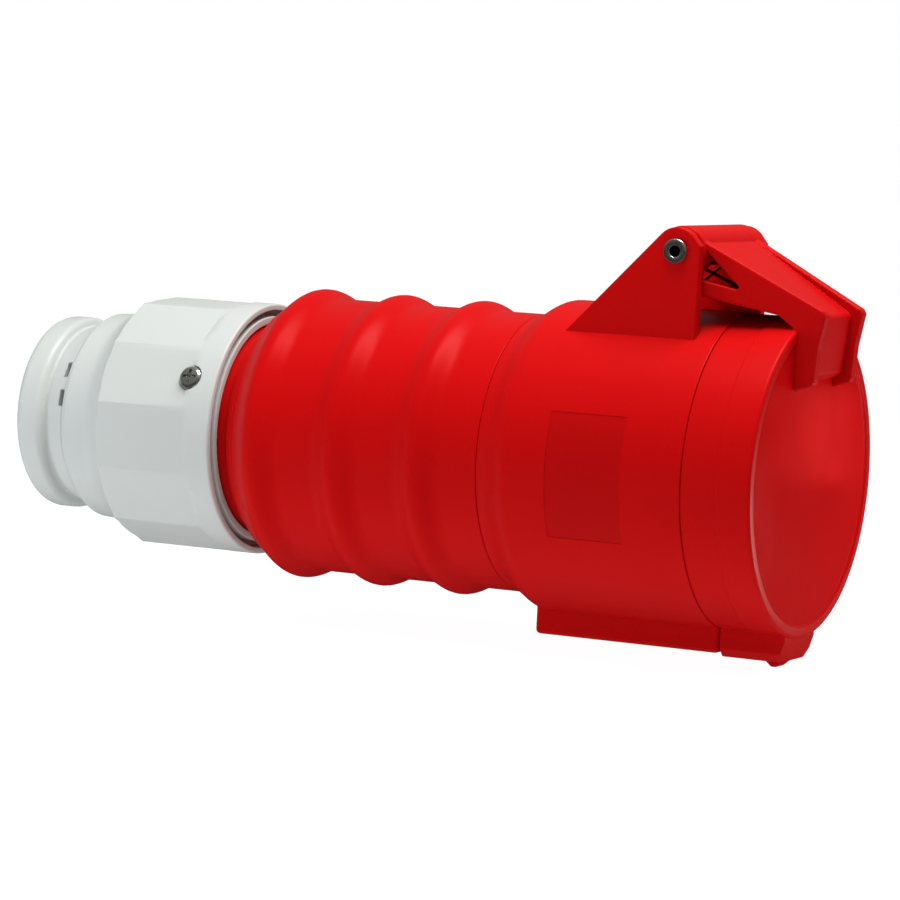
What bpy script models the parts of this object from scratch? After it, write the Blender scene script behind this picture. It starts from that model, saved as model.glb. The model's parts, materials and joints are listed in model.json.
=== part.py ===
"""Industrial cable socket: red body with a sprung lid, five contacts and a grey cable gland.

Metres, +Z up.  The origin is the centre of the contact carrier's front face, +X runs along
the socket's axis out of the lid end, and the lid's hinge is on the +Z side.
"""
import math

import bmesh
import bpy
from mathutils import Matrix, Vector

MM = 0.001

# General
FIT = 0.3 * MM                  # gap between pieces that touch on the real object
TURNED_STEPS = 40
NUT_STEPS = 36
SMALL_STEPS = 12
MERGE = 0.00001
OVERCUT = 1.0 * MM              # how far a cutter runs past the face it opens

# Plug side: contact column, ring space for the plug's sleeve, collar
CARRIER_R = 27.3 * MM
PLUG_SLEEVE_T = 4.2 * MM        # plug's sleeve, with its play round the carrier
SLEEVE_PLAY = 0.4 * MM
RIM_AHEAD = 3.7 * MM            # collar rim ahead of the contact face
SLEEVE_DEPTH = 40.0 * MM
COLLAR_WALL = 1.6 * MM
RIM_TAPER_LEN = 2.2 * MM
RIM_TAPER = 0.6 * MM
KEYWAY_HALF = 5.2 * MM
KEYWAY_DEPTH = 4.6 * MM
KEYWAY_WALL = 1.5 * MM
KEYWAY_SETBACK = 0.2 * MM       # keyway's wall starts this far behind the collar rim
WEB_T = 3.0 * MM

# Lid
LID_CLEAR = 1.0 * MM            # lets the skirt swing past the collar rim
LID_WALL = 1.5 * MM
LID_STEP = 0.25 * MM
LID_FACE_T = 2.4 * MM
LID_FIELD_DEPTH = 0.5 * MM
LID_RIM_W = 2.8 * MM
LID_EDGE = 0.8 * MM
LID_BAND = 8.0 * MM             # proud front band of the skirt
SKIRT_LAP = 7.2 * MM            # how far the skirt reaches behind the collar rim
SEAT_T = 4.3 * MM               # ring under the face that carries the gasket
GASKET_T = 2.0 * MM
GASKET_W = 4.1 * MM
LID_KEY_CLEAR = 1.2 * MM
LID_KEY_SIDE = 0.5 * MM         # play between the two key bumps, sideways
LID_KEY_WALL = 1.9 * MM
LID_KEY_CHAMFER = 2.0 * MM
LID_KEY_SETBACK = 0.9 * MM
LID_KEY_RAKE = 1.6 * MM         # bump's front slopes back this much towards its foot
NUB_HEIGHT = 1.7 * MM
NUB_LEN = 4.0 * MM
NUB_HALF = 2.5 * MM
NUB_AHEAD = 5.9 * MM

# Head
SKIRT_GAP = 0.4 * MM
HEAD_EDGE = 0.4 * MM
HEAD_BORE_DROP = 2.2 * MM       # rear chamber is this much under the collar's bore
SHOULDER_LEN = 9.0 * MM
KEY_HALF = 9.0 * MM
KEY_DROP = 4.4 * MM             # key rib below the head's surface
KEY_BEVEL = 1.1 * MM
KEY_SETBACK = 0.7 * MM          # rib starts this far behind the head's front edge
KEY_OVER_SHOULDER = 3.3 * MM
LABEL_SETBACK = 14.0 * MM
LABEL_LEN = 18.3 * MM
LABEL_TOP_DEG = 21.0
LABEL_BOTTOM_DEG = -25.0
LABEL_DEPTH = 0.4 * MM

# Hinge
PIN_BEHIND_RIM = 18.0 * MM
PIN_ABOVE_HEAD = 13.4 * MM
PIN_R = 1.9 * MM
PIN_HOLE_R = 1.25 * MM
PIN_HEAD_R = 2.8 * MM
PIN_HEAD_T = 0.7 * MM
PIN_SEAT = 0.2 * MM
BARREL_R = 5.6 * MM
BARREL_HALF = 16.8 * MM
BARREL_LEN = 5.3 * MM
EAR_T = 2.8 * MM
EAR_R = 5.3 * MM
EAR_FRONT = 5.6 * MM            # ear's upright front edge, ahead of the pin
EAR_CORNER = 1.4 * MM           # top of that edge, above the pin
EAR_SLOPE_DEG = 46.0
EAR_ROOT = 7.5 * MM             # ear plate reaches this far under the head's top line
ARM_T = 3.0 * MM
ARM_SPLAY = 0.125
ARM_REACH = 6.1 * MM            # arm's front corner ahead of the lid face
ARM_LEAN = 1.5 * MM             # how far the arm's front leans back towards its foot
ARM_FOOT = 16.0 * MM            # arm's foot on the face, below the lid's edge
WEB_DROP = 0.3 * MM             # web under the arms' edges, beside the barrel
WEB_SINK = 2.4 * MM             # and at its front
WEB_PLATE = 2.0 * MM
BAR_T = 2.2 * MM
BAR_SETBACK = 4.6 * MM          # bar's front end behind the lid face
BAR_RISE = 3.2 * MM             # bar's rear end above its front end

# Lid spring
WIRE_R = 0.4 * MM
COIL_R = 3.0 * MM
COIL_TURNS = 6
COIL_POINTS = 10
COIL_HALF = 8.0 * MM
SPRING_REACH = 6.0 * MM         # front leg's end ahead of the bar's rear end
SPRING_TAIL = 12.0 * MM         # rear leg's end behind the pin

# Carrier
CARRIER_FACE_T = 4.0 * MM
CARRIER_WALL = 2.2 * MM
CARRIER_FLANGE_T = 3.0 * MM
BACK_PLATE_T = 3.0 * MM
CONTACT_INSET = 9.7 * MM        # contact circle inside the carrier's wall
LINE_PIN_R = 2.5 * MM
EARTH_PIN_R = 3.5 * MM
PIN_HOLE_PLAY = 0.3 * MM
SLEEVE_INNER_PLAY = 0.1 * MM
SLEEVE_WALL = 1.3 * MM
SLEEVE_LEN = 27.0 * MM
ENTRY_T = 3.0 * MM
ENTRY_CHAMFER = 0.7 * MM
TOWER_WALL = 1.5 * MM
TERMINAL_STEP = 0.8 * MM
TERMINAL_LEN = 17.0 * MM
WIRE_HOLE_R = 2.1 * MM
WIRE_HOLE_DEPTH = 10.0 * MM
TERMINAL_SCREW_R = 1.5 * MM
TERMINAL_SCREW_HEAD_R = 2.4 * MM
TERMINAL_SCREW_HEAD_T = 1.5 * MM
TERMINAL_SCREW_AT = 11.0 * MM
BOSS_INSET = 7.3 * MM
BOSS_R = 3.2 * MM
CARRIER_SCREW_R = 1.4 * MM
CARRIER_SCREW_HEAD_R = 2.6 * MM
CARRIER_SCREW_HEAD_T = 1.7 * MM
CARRIER_SCREW_BITE = 8.0 * MM
CONTACT_DEGS = {"contact_earth": 270, "contact_1": 198, "contact_2": 126,
                "contact_3": 54, "contact_4": 342}
BOSS_DEGS = (90, 234, 306)

# Handle
TONGUE_LEN = 9.1 * MM
TONGUE_WALL = 3.9 * MM
SEAL_GROOVE_DEPTH = 1.8 * MM
SEAL_GROOVE_W = 2.6 * MM
SEAL_GROOVE_AT = 3.5 * MM
SEAL_R = 0.75 * MM
GRIP_WALL = 2.4 * MM            # grip's wall outside the tongue
GRIP_BORE_WALL = 2.8 * MM
RIB_RISE = 2.05 * MM
RIB_HALF = 6.0 * MM
RIB_PITCH = 20.9 * MM
RIB_COUNT = 3
FIRST_RIB = 15.4 * MM
GRIP_TAIL = 0.3 * MM
GRIP_END_DROP = 1.9 * MM
NECK_STEPS = 3
NECK_STEP_LEN = 1.9 * MM
NECK_R = 24.6 * MM
NECK_WALL = 3.7 * MM
NECK_LEN = 20.2 * MM
NECK_LEDGE = 2.3 * MM
SEAL_POCKET = 6.0 * MM

# Gland
THREAD_PLAY = 0.4 * MM
NUT_STANDOFF = 6.8 * MM
NUT_WALL = 4.8 * MM
NUT_FLATS = 12
NUT_FLAT_IN = 1.0 * MM
NUT_RIM_LEN = 4.9 * MM
NUT_RIM_EDGE = 0.6 * MM
NUT_RAMP_LEN = 3.0 * MM
NUT_GRIP_LEN = 30.9 * MM
NUT_BODY_R = 24.9 * MM
NUT_CURVE_LEN = 7.0 * MM
NUT_TAIL_LEN = 5.8 * MM
NUT_TAIL_EDGE = 1.4 * MM
NUT_REAR_WALL = 4.3 * MM
NUT_MOUTH_W = 1.5 * MM
NUT_MOUTH_DEPTH = 2.0 * MM
NUT_THREAD_LEN = 17.4 * MM
NUT_CONE_LEN = 3.5 * MM
LOCK_SCREW_AT = 7.2 * MM
LOCK_SCREW_DEG = 26.0           # above the horizontal, in the middle of a flat
LOCK_SCREW_R = 1.5 * MM
LOCK_SCREW_HEAD_R = 2.8 * MM
LOCK_SCREW_HEAD_T = 1.4 * MM
LOCK_SCREW_SINK = 0.3 * MM      # spot face for the screw, cut this far under the flat
CABLE_R = 7.5 * MM
CABLE_SEAL_LEN = 11.7 * MM
WASHER_T = 1.5 * MM
COLLET_LEN = 14.9 * MM
COLLET_TAPER_LEN = 7.0 * MM
COLLET_TAPER = 3.4 * MM
COLLET_FLARE = 2.5 * MM
COLLET_SLOT = 1.2 * MM
BELL_BORE_R = 14.2 * MM
BELL_NECK_WALL = 2.5 * MM
BELL_CATCH = 1.8 * MM
BELL_CATCH_LEN = 2.2 * MM
BELL_ROOT_IN = 0.6 * MM         # bell's root inside the nut's rear edge
BELL_CONE_LEN = 5.8 * MM
BELL_CONE_DROP = 2.2 * MM
BELL_FLANGE_RISE = 2.4 * MM
BELL_FLANGE_LEN = 7.5 * MM
BELL_LIP_W = 2.6 * MM
SLOT_LEN = 4.0 * MM
SLOT_W = 1.4 * MM
SLOT_DEPTH = 2.0 * MM
SLOT_BEHIND = 0.9 * MM          # middle of a slot behind the bell's root
SLOT_DEGS = (13.0, 31.0)

# Stations along X and radii that follow from the sizes above
collar_bore = CARRIER_R + PLUG_SLEEVE_T + SLEEVE_PLAY
contact_circle_r = CARRIER_R - CONTACT_INSET
boss_circle_r = CARRIER_R - BOSS_INSET
spigot_r = collar_bore + COLLAR_WALL
skirt_bore = spigot_r + LID_CLEAR
head_r = skirt_bore + LID_WALL
rim_x = RIM_AHEAD
floor_x = rim_x - SLEEVE_DEPTH
web_rear_x = floor_x - WEB_T
flange_front_x = web_rear_x - FIT
flange_rear_x = flange_front_x - CARRIER_FLANGE_T
plate_front_x = flange_rear_x - FIT
plate_rear_x = plate_front_x - BACK_PLATE_T
tongue_front_x = plate_rear_x - FIT
grip_front_x = tongue_front_x - TONGUE_LEN
head_rear_x = grip_front_x + FIT
shoulder_x = head_rear_x + SHOULDER_LEN
head_bore = collar_bore - HEAD_BORE_DROP
tongue_r = head_bore - FIT
tongue_bore = tongue_r - TONGUE_WALL
grip_r = head_bore + GRIP_WALL
grip_bore = grip_r - GRIP_BORE_WALL
skirt_rear_x = rim_x - SKIRT_LAP
head_front_x = skirt_rear_x - SKIRT_GAP
gasket_rear_x = rim_x + FIT
seat_x = gasket_rear_x + GASKET_T + FIT
lid_inside_x = seat_x + SEAT_T
lid_face_x = lid_inside_x + LID_FACE_T
keyway_floor = collar_bore + KEYWAY_DEPTH
spigot_key_r = keyway_floor + COLLAR_WALL
lid_key_bore = spigot_key_r + LID_KEY_CLEAR
lid_key_r = lid_key_bore + LID_KEY_WALL
lid_key_bore_half = KEYWAY_HALF + KEYWAY_WALL + LID_KEY_SIDE
lid_key_half = lid_key_bore_half + LID_WALL
pin_x = rim_x - PIN_BEHIND_RIM
pin_z = head_r + PIN_ABOVE_HEAD
pin_bore = PIN_R + FIT
barrel_inner = BARREL_HALF - BARREL_LEN
ear_inner = BARREL_HALF + FIT
ear_outer = ear_inner + EAR_T
coil_room = COIL_R + WIRE_R + 0.55 * MM
last_rib_x = grip_front_x - FIRST_RIB - (RIB_COUNT - 1) * RIB_PITCH
grip_rear_x = last_rib_x - RIB_HALF - GRIP_TAIL
neck_bore = NECK_R - NECK_WALL
neck_rear_x = grip_rear_x - NECK_LEN
ledge_x = neck_rear_x + SEAL_POCKET
nut_front_x = grip_rear_x - NUT_STANDOFF
nut_thread_r = NECK_R + THREAD_PLAY
nut_r = nut_thread_r + NUT_WALL
nut_flat_r = nut_r - NUT_FLAT_IN
nut_grip_end_x = nut_front_x - NUT_GRIP_LEN
nut_tail_x = nut_grip_end_x - NUT_CURVE_LEN
nut_rear_x = nut_tail_x - NUT_TAIL_LEN
nut_bore = neck_bore + FIT
cable_seal_front_x = ledge_x - FIT
cable_seal_rear_x = cable_seal_front_x - CABLE_SEAL_LEN
washer_front_x = cable_seal_rear_x - FIT
washer_rear_x = washer_front_x - WASHER_T
collet_front_x = washer_rear_x - FIT
collet_rear_x = collet_front_x - COLLET_LEN
nut_shoulder_x = nut_rear_x + NUT_REAR_WALL
seal_r = neck_bore - FIT
bell_neck_r = BELL_BORE_R + BELL_NECK_WALL
nut_mouth_r = bell_neck_r + FIT
bell_root_x = nut_rear_x - FIT
bell_root_r = NUT_BODY_R - NUT_TAIL_EDGE - BELL_ROOT_IN
bell_waist_r = bell_root_r - BELL_CONE_DROP
bell_waist_x = bell_root_x - BELL_CONE_LEN
bell_rear_x = bell_waist_x - BELL_FLANGE_LEN
bell_flange_r = bell_waist_r + BELL_FLANGE_RISE


def clear_scene():
    """Remove every object the scene starts with."""
    for obj in list(bpy.data.objects):
        bpy.data.objects.remove(obj, do_unlink=True)


def make_collection(name):
    """Make a collection under the scene's own and return it."""
    collection = bpy.data.collections.new(name)
    bpy.context.scene.collection.children.link(collection)
    return collection


def make_material(name, colour, roughness, metallic=0.0):
    """Make a Principled material from a colour, a roughness and a metallic value."""
    material = bpy.data.materials.new(name)
    material.use_nodes = True
    shader = material.node_tree.nodes["Principled BSDF"]
    shader.inputs["Base Color"].default_value = (*colour, 1.0)
    shader.inputs["Roughness"].default_value = roughness
    shader.inputs["Metallic"].default_value = metallic
    material.diffuse_color = (*colour, 1.0)
    return material


clear_scene()
PARTS = make_collection("industrial_cable_socket")
CUTTERS = make_collection("cutters")

# One entry a look: linear colour, roughness, metallic
LOOKS = {
    "red_plastic": ((0.72, 0.012, 0.012), 0.32, 0.0),
    "grey_plastic": ((0.66, 0.69, 0.68), 0.38, 0.0),
    "dark_plastic": ((0.035, 0.036, 0.038), 0.5, 0.0),
    "white_plastic": ((0.72, 0.72, 0.68), 0.5, 0.0),
    "rubber": ((0.02, 0.02, 0.021), 0.75, 0.0),
    "brass": ((0.72, 0.47, 0.16), 0.3, 1.0),
    "steel": ((0.56, 0.57, 0.58), 0.3, 1.0),
}
axis_x = Matrix.Rotation(math.pi / 2, 4, "Y")
axis_y = Matrix.Rotation(-math.pi / 2, 4, "X")


def link(mesh, name, look=None):
    """Make an object of a mesh: a part with its own material, or a cutter."""
    obj = bpy.data.objects.new(name, mesh)
    if look is None:
        CUTTERS.objects.link(obj)
        obj.hide_render = True
        obj.display_type = "WIRE"
    else:
        PARTS.objects.link(obj)
        colour, roughness, metallic = LOOKS[look]
        mesh.materials.clear()
        mesh.materials.append(make_material(name + "_material", colour, roughness, metallic))
    return obj


def mesh_from(bm, name):
    """Write a bmesh to a new mesh, with its faces pointing out and round sides smooth."""
    bmesh.ops.recalc_face_normals(bm, faces=bm.faces)
    mesh = bpy.data.meshes.new(name)
    bm.to_mesh(mesh)
    bm.free()
    mesh.shade_smooth()
    mesh.set_sharp_from_angle(angle=math.radians(35))
    return mesh


def turned(name, profile, look=None, steps=TURNED_STEPS, place=axis_x):
    """Turn a profile of (station, radius) about the axis that place gives.

    The profile runs down its outer side and back up the inner one.  It closes on itself,
    or starts and ends on the axis.
    """
    mesh = bpy.data.meshes.new(name)
    points = [(radius, 0.0, station) for station, radius in profile]
    edges = [(i, i + 1) for i in range(len(points) - 1)]
    if profile[0][1] > MERGE:
        edges.append((len(points) - 1, 0))
    mesh.from_pydata(points, edges, [])
    obj = link(mesh, name, look)
    screw = obj.modifiers.new("turn", "SCREW")
    screw.steps = steps
    screw.render_steps = steps
    screw.use_merge_vertices = True
    screw.merge_threshold = MERGE
    screw.use_smooth_shade = True
    obj.matrix_world = place
    return obj


def plate(name, outlines, thickness, look=None, place=None):
    """Make a flat plate from closed outlines in its own XY plane, centred on that plane."""
    curve = bpy.data.curves.new(name, "CURVE")
    curve.dimensions = "2D"
    curve.fill_mode = "BOTH"
    curve.extrude = thickness / 2
    for outline in outlines:
        spline = curve.splines.new("POLY")
        spline.points.add(len(outline) - 1)
        for point, (x, y) in zip(spline.points, outline):
            point.co = (x, y, 0.0, 1.0)
        spline.use_cyclic_u = True
    guide = bpy.data.objects.new(name + "_outline", curve)
    bpy.context.scene.collection.objects.link(guide)
    depsgraph = bpy.context.evaluated_depsgraph_get()
    mesh = bpy.data.meshes.new_from_object(guide.evaluated_get(depsgraph))
    bpy.data.objects.remove(guide, do_unlink=True)
    bm = bmesh.new()
    bm.from_mesh(mesh)
    bmesh.ops.remove_doubles(bm, verts=bm.verts, dist=MERGE)
    solid = mesh_from(bm, name)
    obj = link(solid, name, look)
    if place is not None:
        obj.matrix_world = place
    return obj


def block(name, low, high, look=None, bevel=0.0):
    """Make a box between two corners, with its edges rounded where a bevel is given."""
    bm = bmesh.new()
    bmesh.ops.create_cube(bm, size=1.0)
    size = Vector(high) - Vector(low)
    centre = (Vector(high) + Vector(low)) / 2
    bmesh.ops.transform(bm, matrix=Matrix.Diagonal((*size, 1.0)), verts=bm.verts)
    obj = link(mesh_from(bm, name), name, look)
    obj.location = centre
    if bevel:
        rounding = obj.modifiers.new("edge", "BEVEL")
        rounding.width = bevel
        rounding.segments = 2
        rounding.limit_method = "ANGLE"
    return obj


def rod(name, start, end, radius, look=None, steps=SMALL_STEPS):
    """Make a round rod between two points."""
    start, end = Vector(start), Vector(end)
    bm = bmesh.new()
    bmesh.ops.create_cone(bm, cap_ends=True, segments=steps, radius1=radius, radius2=radius,
                          depth=(end - start).length)
    obj = link(mesh_from(bm, name), name, look)
    turn = (end - start).to_track_quat("Z", "Y").to_matrix().to_4x4()
    obj.matrix_world = Matrix.Translation((start + end) / 2) @ turn
    return obj


def combine(obj, other, operation):
    """Add a Boolean modifier to obj."""
    modifier = obj.modifiers.new(operation.lower(), "BOOLEAN")
    modifier.operation = operation
    modifier.solver = "EXACT"
    modifier.object = other
    return obj


def join(obj, *others):
    """Unite other solids with obj."""
    for other in others:
        combine(obj, other, "UNION")


def cut(obj, *others):
    """Cut other solids out of obj."""
    for other in others:
        combine(obj, other, "DIFFERENCE")


def around(degrees, radius):
    """Point on a circle about the X axis, the angle counted from +Y towards +Z."""
    angle = math.radians(degrees)
    return radius * math.cos(angle), radius * math.sin(angle)


def side_place(y):
    """Placement that stands a plate's outline in the XZ plane at y."""
    return Matrix.Translation((0, y, 0)) @ Matrix.Rotation(math.pi / 2, 4, "X")


def cross_place(x):
    """Placement that stands a plate's outline in the YZ plane at x."""
    return Matrix(((0, 0, 1, x), (1, 0, 0, 0), (0, 1, 0, 0), (0, 0, 0, 1)))


def screw_piece(name, seat, direction, radius, length, head_r, head_t, look="steel"):
    """Make a screw: head on its seat, shank against the direction, and a cross recess."""
    direction = Vector(direction).normalized()
    profile = [(head_t, 0.0), (head_t, head_r * 0.72), (head_t * 0.55, head_r),
               (0.0, head_r), (0.0, radius), (-length, radius), (-length, 0.0)]
    turn = direction.to_track_quat("Z", "Y").to_matrix().to_4x4()
    place = Matrix.Translation(Vector(seat)) @ turn
    piece = turned(name, profile, look, SMALL_STEPS, place)
    arm = head_r * 0.62
    for index, (half_x, half_y) in enumerate(((arm, head_r * 0.14), (head_r * 0.14, arm))):
        bar = block(f"{name}_recess_{index}", (-half_x, -half_y, head_t * 0.45),
                    (half_x, half_y, head_t * 1.5))
        bar.matrix_world = place @ bar.matrix_basis
        cut(piece, bar)
    return piece


def build_front_housing():
    """Collar, head and shoulder, with the hinge ears, the key rib and the label field."""
    shoulder = []
    for index in range(1, 5):
        share = index / 4
        drop = (1 - math.cos(math.pi * share)) / 2
        shoulder.append((shoulder_x - share * SHOULDER_LEN,
                         head_r - drop * (head_r - grip_r)))
    profile = [(rim_x, spigot_r - RIM_TAPER), (rim_x - RIM_TAPER_LEN, spigot_r),
               (head_front_x, spigot_r), (head_front_x, head_r - HEAD_EDGE),
               (head_front_x - HEAD_EDGE, head_r), (shoulder_x, head_r), *shoulder,
               (head_rear_x, 0.0)]
    housing = turned("front_housing", [(rim_x, 0.0), *profile], "red_plastic")
    root = collar_bore * 0.8
    key_end = shoulder_x - KEY_OVER_SHOULDER
    key = block("key_rib", (key_end, -KEY_HALF, -head_r - KEY_DROP),
                (head_front_x - KEY_SETBACK, KEY_HALF, -head_r + 3 * MM), bevel=KEY_BEVEL)
    spigot_half = KEYWAY_HALF + KEYWAY_WALL
    bump_x = rim_x - KEYWAY_SETBACK
    bump_outline = [(bump_x, -root), (bump_x, -spigot_key_r + RIM_TAPER),
                    (rim_x - RIM_TAPER_LEN, -spigot_key_r),
                    (head_front_x - 2 * MM, -spigot_key_r), (head_front_x - 2 * MM, -root)]
    bump = plate("keyway_bump", [bump_outline], 2 * spigot_half, place=side_place(0))
    ears = [build_ear(side) for side in (-1, 1)]
    join(housing, key, bump, *ears)
    inside = [(rim_x + OVERCUT, 0.0), (rim_x + OVERCUT, collar_bore), (floor_x, collar_bore),
              (floor_x, CARRIER_R + FIT), (web_rear_x, CARRIER_R + FIT), (web_rear_x, head_bore),
              (head_rear_x - OVERCUT, head_bore), (head_rear_x - OVERCUT, 0.0)]
    keyway = block("keyway", (floor_x + FIT, -KEYWAY_HALF, -keyway_floor),
                   (rim_x + OVERCUT, KEYWAY_HALF, -collar_bore * 0.9))
    bore = rod("ear_bore", (pin_x, -ear_outer - 1 * MM, pin_z),
               (pin_x, ear_outer + 1 * MM, pin_z), pin_bore)
    cut(housing, turned("housing_inside", inside), keyway, bore, build_label_cutter())
    return housing


def build_ear(side):
    """One hinge ear: upright front edge, round top about the pin, sloping back edge."""
    slope = math.radians(EAR_SLOPE_DEG)
    foot_z = head_r - EAR_ROOT
    start = math.pi / 2 + slope
    first = math.pi / 4
    outline = [(pin_x + EAR_FRONT, foot_z), (pin_x + EAR_FRONT, pin_z + EAR_CORNER)]
    for index in range(9):
        angle = first + (start - first) * index / 8
        outline.append((pin_x + EAR_R * math.cos(angle), pin_z + EAR_R * math.sin(angle)))
    back_x, back_z = outline[-1]
    outline.append((back_x - (back_z - foot_z) / math.tan(slope), foot_z))
    middle = side * (ear_inner + EAR_T / 2)
    return plate(f"ear_{side}", [outline], EAR_T, place=side_place(middle))


def build_label_cutter():
    """Curved block that sinks the bare label field into the near side of the head."""
    outline = []
    for radius, first, last in ((head_r + 2 * MM, LABEL_TOP_DEG, LABEL_BOTTOM_DEG),
                                (head_r - LABEL_DEPTH, LABEL_BOTTOM_DEG, LABEL_TOP_DEG)):
        for index in range(9):
            angle = math.radians(first + (last - first) * index / 8)
            outline.append((-radius * math.cos(angle), radius * math.sin(angle)))
    front = head_front_x - LABEL_SETBACK
    return plate("label_field", [outline], LABEL_LEN, place=cross_place(front - LABEL_LEN / 2))


def build_lid():
    """Cap with skirt, key bump and nub, carried by two arms from the hinge barrel."""
    edge = LID_EDGE
    field_r = head_r - LID_RIM_W
    field_x = lid_face_x - LID_FIELD_DEPTH
    band_x = lid_face_x - LID_BAND
    profile = [(field_x, 0.0), (field_x, field_r), (lid_face_x, field_r + LID_FIELD_DEPTH),
               (lid_face_x, head_r - edge), (lid_face_x - edge * 0.3, head_r - edge * 0.3),
               (lid_face_x - edge, head_r), (band_x, head_r), (band_x, head_r - LID_STEP),
               (skirt_rear_x, head_r - LID_STEP), (skirt_rear_x, 0.0)]
    lid = turned("lid", profile, "red_plastic")
    seat_bore = skirt_bore - GASKET_W - FIT
    inside = [(lid_inside_x, 0.0), (lid_inside_x, seat_bore), (seat_x, seat_bore),
              (seat_x, skirt_bore), (skirt_rear_x - OVERCUT, skirt_bore),
              (skirt_rear_x - OVERCUT, 0.0)]
    top = -skirt_bore * 0.9
    key_front = lid_face_x - LID_KEY_SETBACK
    rake = LID_KEY_RAKE * (1 + OVERCUT / (lid_key_r - head_r))
    key_outline = [(skirt_rear_x, top), (lid_inside_x + 1 * MM, top), (key_front, -head_r),
                   (key_front - rake, -lid_key_r - OVERCUT),
                   (skirt_rear_x, -lid_key_r - OVERCUT)]
    key = plate("lid_key", [key_outline], 3 * lid_key_half, place=side_place(0))
    foot = lid_key_half - LID_KEY_CHAMFER
    section = [(-lid_key_half, top + 1 * MM), (-lid_key_half, -lid_key_r + LID_KEY_CHAMFER),
               (-foot, -lid_key_r), (foot, -lid_key_r),
               (lid_key_half, -lid_key_r + LID_KEY_CHAMFER), (lid_key_half, top + 1 * MM)]
    combine(key, plate("lid_key_section", [section], 4 * LID_BAND, place=cross_place(0)),
            "INTERSECT")
    nub_x = lid_face_x - NUB_AHEAD
    nub_outline = [(nub_x + NUB_LEN / 2, -lid_key_r + 1 * MM),
                   (nub_x - NUB_LEN / 2, -lid_key_r + 1 * MM),
                   (nub_x - NUB_LEN / 2, -lid_key_r - NUB_HEIGHT * 0.3),
                   (nub_x - NUB_LEN * 0.12, -lid_key_r - NUB_HEIGHT),
                   (nub_x + NUB_LEN * 0.12, -lid_key_r - NUB_HEIGHT),
                   (nub_x + NUB_LEN / 2, -lid_key_r - NUB_HEIGHT * 0.3)]
    nub = plate("lid_nub", [nub_outline], 2 * NUB_HALF, place=side_place(0))
    barrel = rod("lid_barrel", (pin_x, -BARREL_HALF, pin_z), (pin_x, BARREL_HALF, pin_z),
                 BARREL_R, steps=24)
    join(lid, key, nub, barrel, *build_arms(), *build_arm_webs())
    key_room = block("lid_key_room", (skirt_rear_x - OVERCUT, -lid_key_bore_half, -lid_key_bore),
                     (seat_x, lid_key_bore_half, -skirt_bore * 0.85))
    coil_space = rod("coil_room", (pin_x, -barrel_inner, pin_z), (pin_x, barrel_inner, pin_z),
                     coil_room, steps=20)
    coil_back_x = pin_x - BARREL_R - 1 * MM
    under = block("coil_exit", (coil_back_x, -barrel_inner, pin_z - BARREL_R - 0.6 * MM),
                  (pin_x + BARREL_R + 0.4 * MM, barrel_inner, pin_z - 0.8 * MM))
    behind = block("coil_back", (coil_back_x, -barrel_inner, pin_z - 1.6 * MM),
                   (pin_x - COIL_R * 0.75, barrel_inner, pin_z + BARREL_R + 1 * MM))
    bore = rod("lid_bore", (pin_x, -BARREL_HALF - 1 * MM, pin_z),
               (pin_x, BARREL_HALF + 1 * MM, pin_z), pin_bore)
    cut(lid, turned("lid_inside", inside), key_room, coil_space, under, behind, bore)
    return lid


def arm_line():
    """Upper edge of the lid's arms: its rear point, front point and slope."""
    rear = (pin_x + 1.1 * MM, pin_z + BARREL_R - 1.2 * MM)
    front = (lid_face_x + ARM_REACH - 0.6 * MM, head_r + 1.95 * MM)
    return rear, front, (front[1] - rear[1]) / (front[0] - rear[0])


def build_arms():
    """Two splayed side plates with a three-cornered window beside the ears."""
    rear, front, _ = arm_line()
    nose_x = lid_face_x + ARM_REACH
    bar_low = head_r + 0.5 * MM
    foot_z = head_r - ARM_FOOT
    inside = lid_face_x - LID_FACE_T / 2 - LID_FIELD_DEPTH / 2
    outline = [rear, front, (nose_x, front[1] - 1.0 * MM), (nose_x - ARM_LEAN, head_r - 6.5 * MM),
               (nose_x - ARM_LEAN - 0.5 * MM, foot_z + 1.5 * MM),
               (lid_face_x - 0.4 * MM, foot_z), (inside, foot_z), (inside, head_r - 2 * MM),
               (lid_face_x - BAR_SETBACK - 0.2 * MM, bar_low), (rear[0], bar_low + BAR_RISE + 0.5 * MM)]
    ear_front = pin_x + EAR_FRONT
    window = [(ear_front + 8.5 * MM, bar_low + 4.9 * MM), (ear_front - 1.0 * MM, pin_z + 1.1 * MM),
              (ear_front - 1.2 * MM, pin_z - 1.9 * MM),
              (ear_front - 1.5 * MM, bar_low + BAR_RISE + 3.7 * MM)]
    arms = []
    for side in (-1, 1):
        middle = side * (BARREL_HALF - 0.1 * MM - ARM_T / 2)
        splay = -side * ARM_SPLAY
        lean = Matrix.Identity(4)
        lean[1][0] = splay
        arm = plate(f"arm_{side}", [outline, window], ARM_T)
        arm.data.transform(lean @ side_place(middle - splay * pin_x))
        arms.append(arm)
    return arms


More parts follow.
